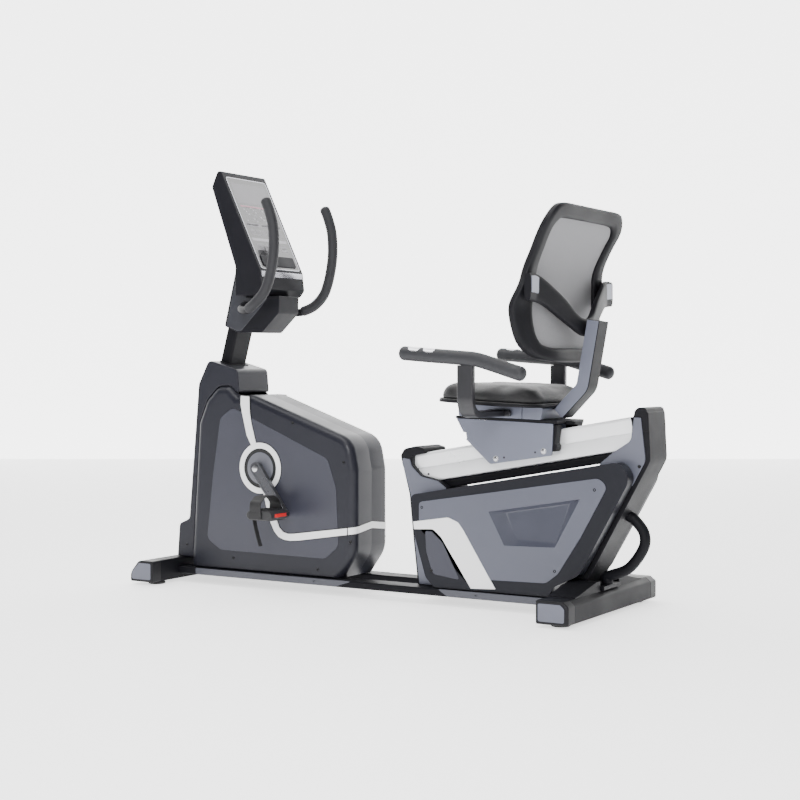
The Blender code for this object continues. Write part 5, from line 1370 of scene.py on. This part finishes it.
cover_black = finish_of("seat_cover", (0.007, 0.007, 0.008), 0.52, grain=1900, bump=0.55,
                        bump_depth=0.0005, mottle=0.12, specular=0.45)
seat_place = Matrix.Translation((0.395, 0.0, 0.6020)) @ Matrix.Rotation(math.radians(2.5), 4, "Y")
seat_plan = [(-0.180, -0.150, 0.09), (0.030, -0.205, 0.10), (0.175, -0.185, 0.08),
             (0.175, 0.185, 0.08), (0.030, 0.205, 0.10), (-0.180, 0.150, 0.09)]
board_plan = rounded(seat_plan, 0.09, 14)
BOARD = 0.008
CUSHION_TOP = 0.062
FOAM_CROWN = 0.007

board = plate(inset(board_plan, 0.002), "Z", 0.0, BOARD, 0.003, 3)
bmesh.ops.transform(board, matrix=seat_place, verts=board.verts)
to_piece("cushion_board", board, moulded_black_and_shade, "seat", "black_plastic")

foam_plan = inset(board_plan, 0.010)
foam = slab(foam_plan, "Z", BOARD - 0.002, CUSHION_TOP - FOAM_CROWN)
soften(foam, level_edges(foam, "Z", CUSHION_TOP - FOAM_CROWN), 0.022, 6)
for vert in foam.verts:
    if vert.co.z > 0.03 and vert.co.x < -0.11:
        share = min((-0.11 - vert.co.x) / 0.07, 1.0)
        vert.co.z -= 0.016 * share * share
bmesh.ops.triangulate(foam, faces=foam.faces[:])
foam_mesh = bpy.data.meshes.new("foam")
foam.to_mesh(foam_mesh)
foam.free()
foam_object = bpy.data.objects.new("foam", foam_mesh)
bpy.context.scene.collection.objects.link(foam_object)


def evaluated_copy(source):
    """The object's mesh as its modifiers leave it."""
    bpy.context.view_layer.update()
    graph = bpy.context.evaluated_depsgraph_get()
    return bpy.data.meshes.new_from_object(source.evaluated_get(graph))


remesh = foam_object.modifiers.new("voxels", "REMESH")
remesh.mode = "VOXEL"
remesh.voxel_size = 0.0055
cover_mesh = evaluated_copy(foam_object)
bpy.data.objects.remove(foam_object)
cover_object = bpy.data.objects.new("cushion_cover", cover_mesh)
bpy.context.scene.collection.objects.link(cover_object)
MOST_SWELL = 0.007
CLOTH_FRAMES = 20
COVER_SMOOTHINGS = 10
COVER_UNEVENNESS = 0.0012
started = [vert.co.copy() for vert in cover_mesh.vertices]
held = cover_object.vertex_groups.new(name="held")
held.add([vert.index for vert in cover_mesh.vertices if vert.co.z < BOARD + 0.004], 1.0, "REPLACE")
cloth = cover_object.modifiers.new("cloth", "CLOTH")
cloth.settings.quality = 5
cloth.settings.mass = 0.3
cloth.settings.tension_stiffness = 30
cloth.settings.compression_stiffness = 30
cloth.settings.bending_stiffness = 6.0
cloth.settings.use_pressure = True
cloth.settings.uniform_pressure_force = 3.0
cloth.settings.effector_weights.gravity = 0.0
cloth.settings.vertex_group_mass = "held"
cloth.collision_settings.use_collision = False
cloth.point_cache.frame_start = 1
cloth.point_cache.frame_end = CLOTH_FRAMES
for moment in range(1, CLOTH_FRAMES + 1):
    bpy.context.scene.frame_set(moment)
blown = evaluated_copy(cover_object)
for vert, start in zip(blown.vertices, started):
    move = vert.co - start
    if move.length > MOST_SWELL:
        vert.co = start + move * (MOST_SWELL / move.length)
bpy.context.scene.frame_set(1)
cover_object.modifiers.clear()
cover_object.data = blown
cover_mesh = blown
cover_object.vertex_groups.clear()
cover_shape = bmesh.new()
cover_shape.from_mesh(cover_mesh)
bpy.data.objects.remove(cover_object)
for _ in range(COVER_SMOOTHINGS):
    bmesh.ops.smooth_vert(cover_shape, verts=cover_shape.verts, factor=0.5, use_axis_x=True,
                          use_axis_y=True, use_axis_z=True)
for vert in cover_shape.verts:
    if vert.co.z > 0.03:
        vert.co.z = min(vert.co.z, CUSHION_TOP + 0.002)
        vert.co.z += noise.noise(vert.co * 9.0) * COVER_UNEVENNESS
bmesh.ops.transform(cover_shape, matrix=seat_place, verts=cover_shape.verts)
cushion = to_piece("cushion_cover", cover_shape, cover_black, "seat", "seat_leather",
                   "seat_cushion")
smoothed = cushion.modifiers.new("fine", "SUBSURF")
smoothed.levels = smoothed.render_levels = 1
cushion.modifiers.move(len(cushion.modifiers) - 1, 0)

welt_line = [seat_place @ Vector((x, y, BOARD + 0.0015)) for x, y in inset(board_plan, 0.0055)]
welt_line = smooth_line(welt_line + welt_line[:1], 1)
to_piece("cushion_welt", swept(welt_line, [0.0022] * len(welt_line), 10), cover_black, "seat",
         "seat_leather")


# ------------------------------------------------------------------ armrests
# Each arm is a steel strap bent out from under the seat. A foam-covered bar lies across its top,
# with two chromed pulse contacts let into the front.

strap_steel = finish_of("strap_steel", (0.012, 0.012, 0.015), 0.38, grain=420, bump=0.14)
contact_chrome = finish_of("contact_chrome", (0.66, 0.66, 0.68), 0.16, grain=300, bump=0.02,
                           dust=0.0, metallic=1.0)
ARM_Y = 0.300
ARM_RADIUS = 0.0205
arm_knots = [(0.197, 0.752), (0.300, 0.744), (0.400, 0.737), (0.448, 0.732), (0.500, 0.718),
             (0.560, 0.700), (0.600, 0.688)]


def contact_patch(line, start, end, side):
    """A thin oval plate bent over the top of an arm between two places along it."""
    shape = bmesh.new()
    rows = []
    for i in range(15):
        along = i / 14
        x = start + (end - start) * along
        spread = math.radians(52) * math.sqrt(max(1 - (2 * along - 1) ** 4, 0.05))
        below = max((p for p in line if p.x <= x), key=lambda p: p.x)
        above = min((p for p in line if p.x > x), key=lambda p: p.x)
        level = below.z + (above.z - below.z) * (x - below.x) / (above.x - below.x)
        turns = [(-spread + 2 * spread * k / 16) - side * math.radians(-14) for k in range(17)]
        rows.append([shape.verts.new((x, side * ARM_Y + (ARM_RADIUS + 0.0010) * math.sin(t),
                                      level + (ARM_RADIUS + 0.0010) * math.cos(t)))
                     for t in turns])
    for a, b in zip(rows, rows[1:]):
        for k in range(16):
            shape.faces.new((a[k], b[k], b[k + 1], a[k + 1]))
    bmesh.ops.recalc_face_normals(shape, faces=shape.faces)
    if sum(f.normal.z for f in shape.faces) < 0:
        bmesh.ops.reverse_faces(shape, faces=shape.faces)
    return shape


for side_name, side in SIDES:
    arm_line = smooth_line([(x, side * ARM_Y, z) for x, z in arm_knots], 8)
    line, radii = domed(arm_line, ARM_RADIUS, 0.016)
    arm = to_piece(f"arm_pad_{side_name}", swept(line, radii, 32), foam_grey, "seat", "foam_grip",
                   f"armrest_{side_name}")
    for place_name, start, end in (("front", 0.231, 0.271), ("rear", 0.281, 0.321)):
        patch = contact_patch(arm_line, start, end, side)
        contact = to_piece(f"pulse_{place_name}_{side_name}", patch, contact_chrome, "seat",
                           "machined_steel")
        walled(contact, 0.0014)
    low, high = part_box(f"armrest_bracket_{side_name}")
    strap_path = rounded([(side * ARM_Y, 0.7165, 0.0), (side * ARM_Y, 0.577, 0.050),
                          (side * 0.1004, 0.577, 0.0)], 0.0, 12)
    strap = plate(band(strap_path, 0.019), "X", low.x, high.x, 0.004, 4)
    to_piece(f"arm_strap_{side_name}", strap, strap_steel, "seat", "base_black",
             f"armrest_bracket_{side_name}")
    near, far = sorted((side * (SEAT_BASE_HALF + 0.0002), side * (SEAT_BASE_HALF + 0.0135)))
    lug = plate(rounded(box_of(0.372, 0.4560, 0.5675, 0.5865), 0.0085, 6), "Y", near, far, 0.003, 3)
    to_piece(f"arm_lug_{side_name}", lug, strap_steel, "seat", "base_black")


# ------------------------------------------------------------------ back post and brace
# A boxed steel post rises behind the cushion; its slate sides are painted light and its black rear
# is painted shade. A black brace spreads from its top to both edges of the back; thin grey strips
# on its wings are painted highlights.

post_spine = rounded([(0.573, 0.577, 0.0), (0.648, 0.654, 0.040), (0.682, 0.845, 0.0)], 0.0, 10)
BACK_POST_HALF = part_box("back_post")[1].y
spine_body = plate(band(post_spine, 0.038), "Y", -BACK_POST_HALF + 0.0025, BACK_POST_HALF - 0.0025,
                   0.0015, 2)
# Painted shade: the black core stands for the post's shaded rear.
to_piece("back_post_core", spine_body, moulded_black_and_shade, "seat", "silver_panel", "back_post")
cheek_band = band([(x - 0.0012, z - 0.0006) for x, z in post_spine], 0.0355)
# Painted light: the slate cheeks stand for the post's lit sides.
for side_name, side in SIDES:
    near, far = sorted((side * (BACK_POST_HALF - 0.0030), side * BACK_POST_HALF))
    post_side = slab(cheek_band, "Y", near, far)
    soften(post_side, level_edges(post_side, "Y", side * BACK_POST_HALF), 0.0014, 3)
    to_piece(f"back_post_cheek_{side_name}", post_side, grey_carriage_and_painted_light, "seat", "silver_panel")

CURL_TOP, CURL_FADE = 0.960, 0.090
CURL_START, CURL_REACH = 0.100, 0.187
CURL_DEPTH = 0.030
back_profile = smooth_line([(0.720, 0.584), (0.800, 0.572), (0.890, 0.562), (0.980, 0.560),
                            (1.060, 0.592), (1.120, 0.624), (1.175, 0.645)], 10)


def back_x(level, y):
    """The front of the back at a height, its lower sides drawn forward round the waist."""
    low = max(0.0, min(1.0, (CURL_TOP - level) / CURL_FADE))
    share = max(0.0, (abs(y) - CURL_START) / CURL_REACH)
    curl = CURL_DEPTH * low * low * (3 - 2 * low) * share ** 2
    for a, b in zip(back_profile, back_profile[1:]):
        if level <= b.x:
            return a.y + (b.y - a.y) * (level - a.x) / (b.x - a.x) - curl
    return back_profile[-1].y


def loft(stations, closed):
    """A skin over equal rings of points, one ring after another."""
    shape = bmesh.new()
    rings = [[shape.verts.new(p) for p in ring] for ring in stations]
    pairs = list(zip(rings, rings[1:]))
    if closed:
        pairs.append((rings[-1], rings[0]))
    for a, b in pairs:
        for i in range(len(a)):
            shape.faces.new((a[i - 1], a[i], b[i], b[i - 1]))
    if not closed:
        shape.faces.new(rings[0])
        shape.faces.new(rings[-1])
    bmesh.ops.recalc_face_normals(shape, faces=shape.faces)
    return shape


section = rounded([(0.0, 0.0), (1.0, 0.0), (1.0, 1.0), (0.0, 1.0)], 0.30, 5)
brace_under = smooth_line([(-0.282, 0.896), (-0.250, 0.893), (-0.205, 0.885), (-0.120, 0.845),
                           (-0.034, 0.806), (0.0, 0.800), (0.034, 0.806), (0.120, 0.845),
                           (0.205, 0.885), (0.250, 0.893), (0.282, 0.896)], 6)
brace_over = smooth_line([(-0.282, 0.970), (-0.240, 0.970), (-0.190, 0.950), (-0.110, 0.905),
                          (-0.050, 0.862), (0.0, 0.850), (0.050, 0.862), (0.110, 0.905),
                          (0.190, 0.950), (0.240, 0.970), (0.282, 0.970)], 6)


def level_at(line, y):
    for a, b in zip(line, line[1:]):
        if y <= b.x:
            return a.y + (b.y - a.y) * (y - a.x) / max(b.x - a.x, 1e-9)
    return line[-1].y


BRACE_REACH = 0.280
BRACE_STEPS = 72
BRACE_THICKNESS = 0.020
BRACE_FRONT, BRACE_SWEEP = 0.633, 0.047
stations = []
for i in range(BRACE_STEPS + 1):
    y = BRACE_REACH * (2 * i / BRACE_STEPS - 1)
    under, over = level_at(brace_under, y), level_at(brace_over, y)
    reach = min(abs(y) / 0.24, 1.0)
    front = BRACE_FRONT - BRACE_SWEEP * reach ** 1.2
    stations.append([(front + BRACE_THICKNESS * v, y, under + (over - under) * u) for u, v in section])
brace = loft(stations, closed=False)
to_piece("brace_spread", brace, moulded_black_and_shade, "seat", "black_plastic", "back_brace")
# Painted highlight: thin grey strips on the brace's wings stand for the light on their curve.
HIGHLIGHT_START, HIGHLIGHT_LENGTH, HIGHLIGHT_STEPS = 0.170, 0.106, 18
HIGHLIGHT_FRONT, HIGHLIGHT_THICKNESS = 0.6045, 0.0032
for side_name, side in SIDES:
    stations = []
    for i in range(HIGHLIGHT_STEPS + 1):
        y = side * (HIGHLIGHT_START + HIGHLIGHT_LENGTH * i / HIGHLIGHT_STEPS)
        under, over = level_at(brace_under, y), level_at(brace_over, y)
        under, over = under + (over - under) * 0.30, over - (over - under) * 0.10
        stations.append([(HIGHLIGHT_FRONT + HIGHLIGHT_THICKNESS * v, y, under + (over - under) * u)
                         for u, v in section])
    to_piece(f"wing_highlight_strip_{side_name}", loft(stations, closed=False), grey_carriage_and_painted_light, "seat",
             "black_plastic")


# ------------------------------------------------------------------ back frame and mesh
# A moulded nylon frame curves to the spine and wraps forward round the waist. Knitted mesh is
# stretched over its window and tucked in behind the rim.

frame_nylon = finish_of("frame_nylon", (0.008, 0.008, 0.010), 0.48, grain=1300, bump=0.26,
                        mottle=0.06, dust=0.005, specular=0.16)
back_half = [
    (0.080, 0.725), (0.180, 0.731), (0.238, 0.748), (0.270, 0.778), (0.283, 0.820),
    (0.287, 0.860), (0.283, 0.900), (0.268, 0.940), (0.252, 0.978), (0.243, 1.030),
    (0.248, 1.080), (0.250, 1.115), (0.230, 1.150), (0.195, 1.168), (0.090, 1.170)]
window_half = [
    (0.070, 0.765), (0.140, 0.767), (0.185, 0.778), (0.205, 0.805), (0.210, 0.840),
    (0.207, 0.880), (0.202, 0.920), (0.197, 0.960), (0.195, 0.990), (0.197, 1.030),
    (0.203, 1.080), (0.204, 1.100), (0.190, 1.118), (0.165, 1.128), (0.080, 1.130)]
RIM_STATIONS = 60
FRAME_THICKNESS = 0.026


def half_curve(half, count):
    """The half outline from the middle of the foot to the middle of the head, evenly spaced."""
    knots = [(-half[0][0], half[0][1]), *half, (-half[-1][0], half[-1][1])]
    line = smooth_line(knots, 8)[8:-8]
    line = [Vector((0.0, half[0][1])), *line, Vector((0.0, half[-1][1]))]
    lengths = [0.0]
    for a, b in zip(line, line[1:]):
        lengths.append(lengths[-1] + (b - a).length)
    curve = []
    for step in range(count + 1):
        wanted = lengths[-1] * step / count
        k = next(i for i, length in enumerate(lengths) if length >= wanted - 1e-9)
        k = max(k, 1)
        share = (wanted - lengths[k - 1]) / max(lengths[k] - lengths[k - 1], 1e-9)
        curve.append(line[k - 1].lerp(line[k], share))
    return curve


outer_curve = half_curve(back_half, RIM_STATIONS)
inner_curve = half_curve(window_half, RIM_STATIONS)
outer_loop = outer_curve + [Vector((-p.x, p.y)) for p in outer_curve[-2:0:-1]]
inner_loop = inner_curve + [Vector((-p.x, p.y)) for p in inner_curve[-2:0:-1]]
stations = []
for out, into in zip(outer_loop, inner_loop):
    ring = []
    for u, v in section:
        spot = out.lerp(into, u)
        crown = 0.0025 * math.sin(math.pi * u)
        ring.append((back_x(spot.y, spot.x) + FRAME_THICKNESS * v + (crown if v > 0.5 else -crown),
                     spot.x, spot.y))
    stations.append(ring)
to_piece("back_rim", loft(stations, closed=True), frame_nylon, "seat", "black_plastic",
         "back_frame")


def build_knit():
    """A knitted mesh: fine open cells in the piece's own UV map."""
    material = finish_of("back_knit", (0.300, 0.300, 0.312), 0.80, grain=2400, bump=0.3, dust=0.0)
    nodes, links = material.node_tree.nodes, material.node_tree.links
    shader = nodes["Principled BSDF"]
    where = nodes.new("ShaderNodeUVMap")
    where.uv_map = "weave"
    scaled = nodes.new("ShaderNodeMapping")
    scaled.inputs["Scale"].default_value = (1 / 0.0032, 1 / 0.0026, 1.0)
    cells = nodes.new("ShaderNodeTexVoronoi")
    cells.feature = "DISTANCE_TO_EDGE"
    cells.inputs["Scale"].default_value = 1.0
    cells.inputs["Randomness"].default_value = 0.12
    threads = nodes.new("ShaderNodeMapRange")
    threads.inputs["From Min"].default_value = 0.10
    threads.inputs["From Max"].default_value = 0.30
    threads.inputs["To Min"].default_value = 1.0
    threads.inputs["To Max"].default_value = 0.0
    links.new(where.outputs["UV"], scaled.inputs["Vector"])
    links.new(scaled.outputs["Vector"], cells.inputs["Vector"])
    links.new(cells.outputs["Distance"], threads.inputs["Value"])
    tone = nodes.new("ShaderNodeMix")
    tone.data_type = "RGBA"
    tone.inputs["A"].default_value = (0.110, 0.110, 0.118, 1)
    links.new(threads.outputs["Result"], tone.inputs["Factor"])
    links.new(nodes["grain"].outputs["Colour"], tone.inputs["B"])
    links.new(tone.outputs["Result"], shader.inputs["Base Color"])
    links.new(threads.outputs["Result"], nodes["relief"].inputs["Height"])
    return material


back_knit = build_knit()
MESH_ROWS, MESH_COLUMNS = 72, 48
MESH_BEHIND = 0.012
TUCK = 0.007
window_low, window_high = inner_curve[0].y, inner_curve[-1].y
knit = bmesh.new()
weave = knit.loops.layers.uv.new("weave")
grid = []
for row in range(MESH_ROWS + 1):
    level = window_low - TUCK + (window_high - window_low + 2 * TUCK) * row / MESH_ROWS
    inside = min(max(level, window_low + 0.0005), window_high - 0.0005)
    crossings = [a.x + (b.x - a.x) * (inside - a.y) / (b.y - a.y)
                 for a, b in zip(inner_curve, inner_curve[1:]) if a.y <= inside < b.y]
    half_width = max(crossings) + TUCK
    line = []
    for column in range(MESH_COLUMNS + 1):
        y = half_width * (2 * column / MESH_COLUMNS - 1)
        line.append(knit.verts.new((back_x(level, y) + MESH_BEHIND, y, level)))
    grid.append(line)
for a, b in zip(grid, grid[1:]):
    for i in range(MESH_COLUMNS):
        face = knit.faces.new((a[i], b[i], b[i + 1], a[i + 1]))
        for loop in face.loops:
            loop[weave].uv = (loop.vert.co.y, loop.vert.co.z)
knit.normal_update()
knit_area = sum(face.calc_area() for face in knit.faces)
mesh_back = to_piece("knit_panel", knit, back_knit, "seat", "back_mesh", "back_mesh")
walled(mesh_back, 0.0010)
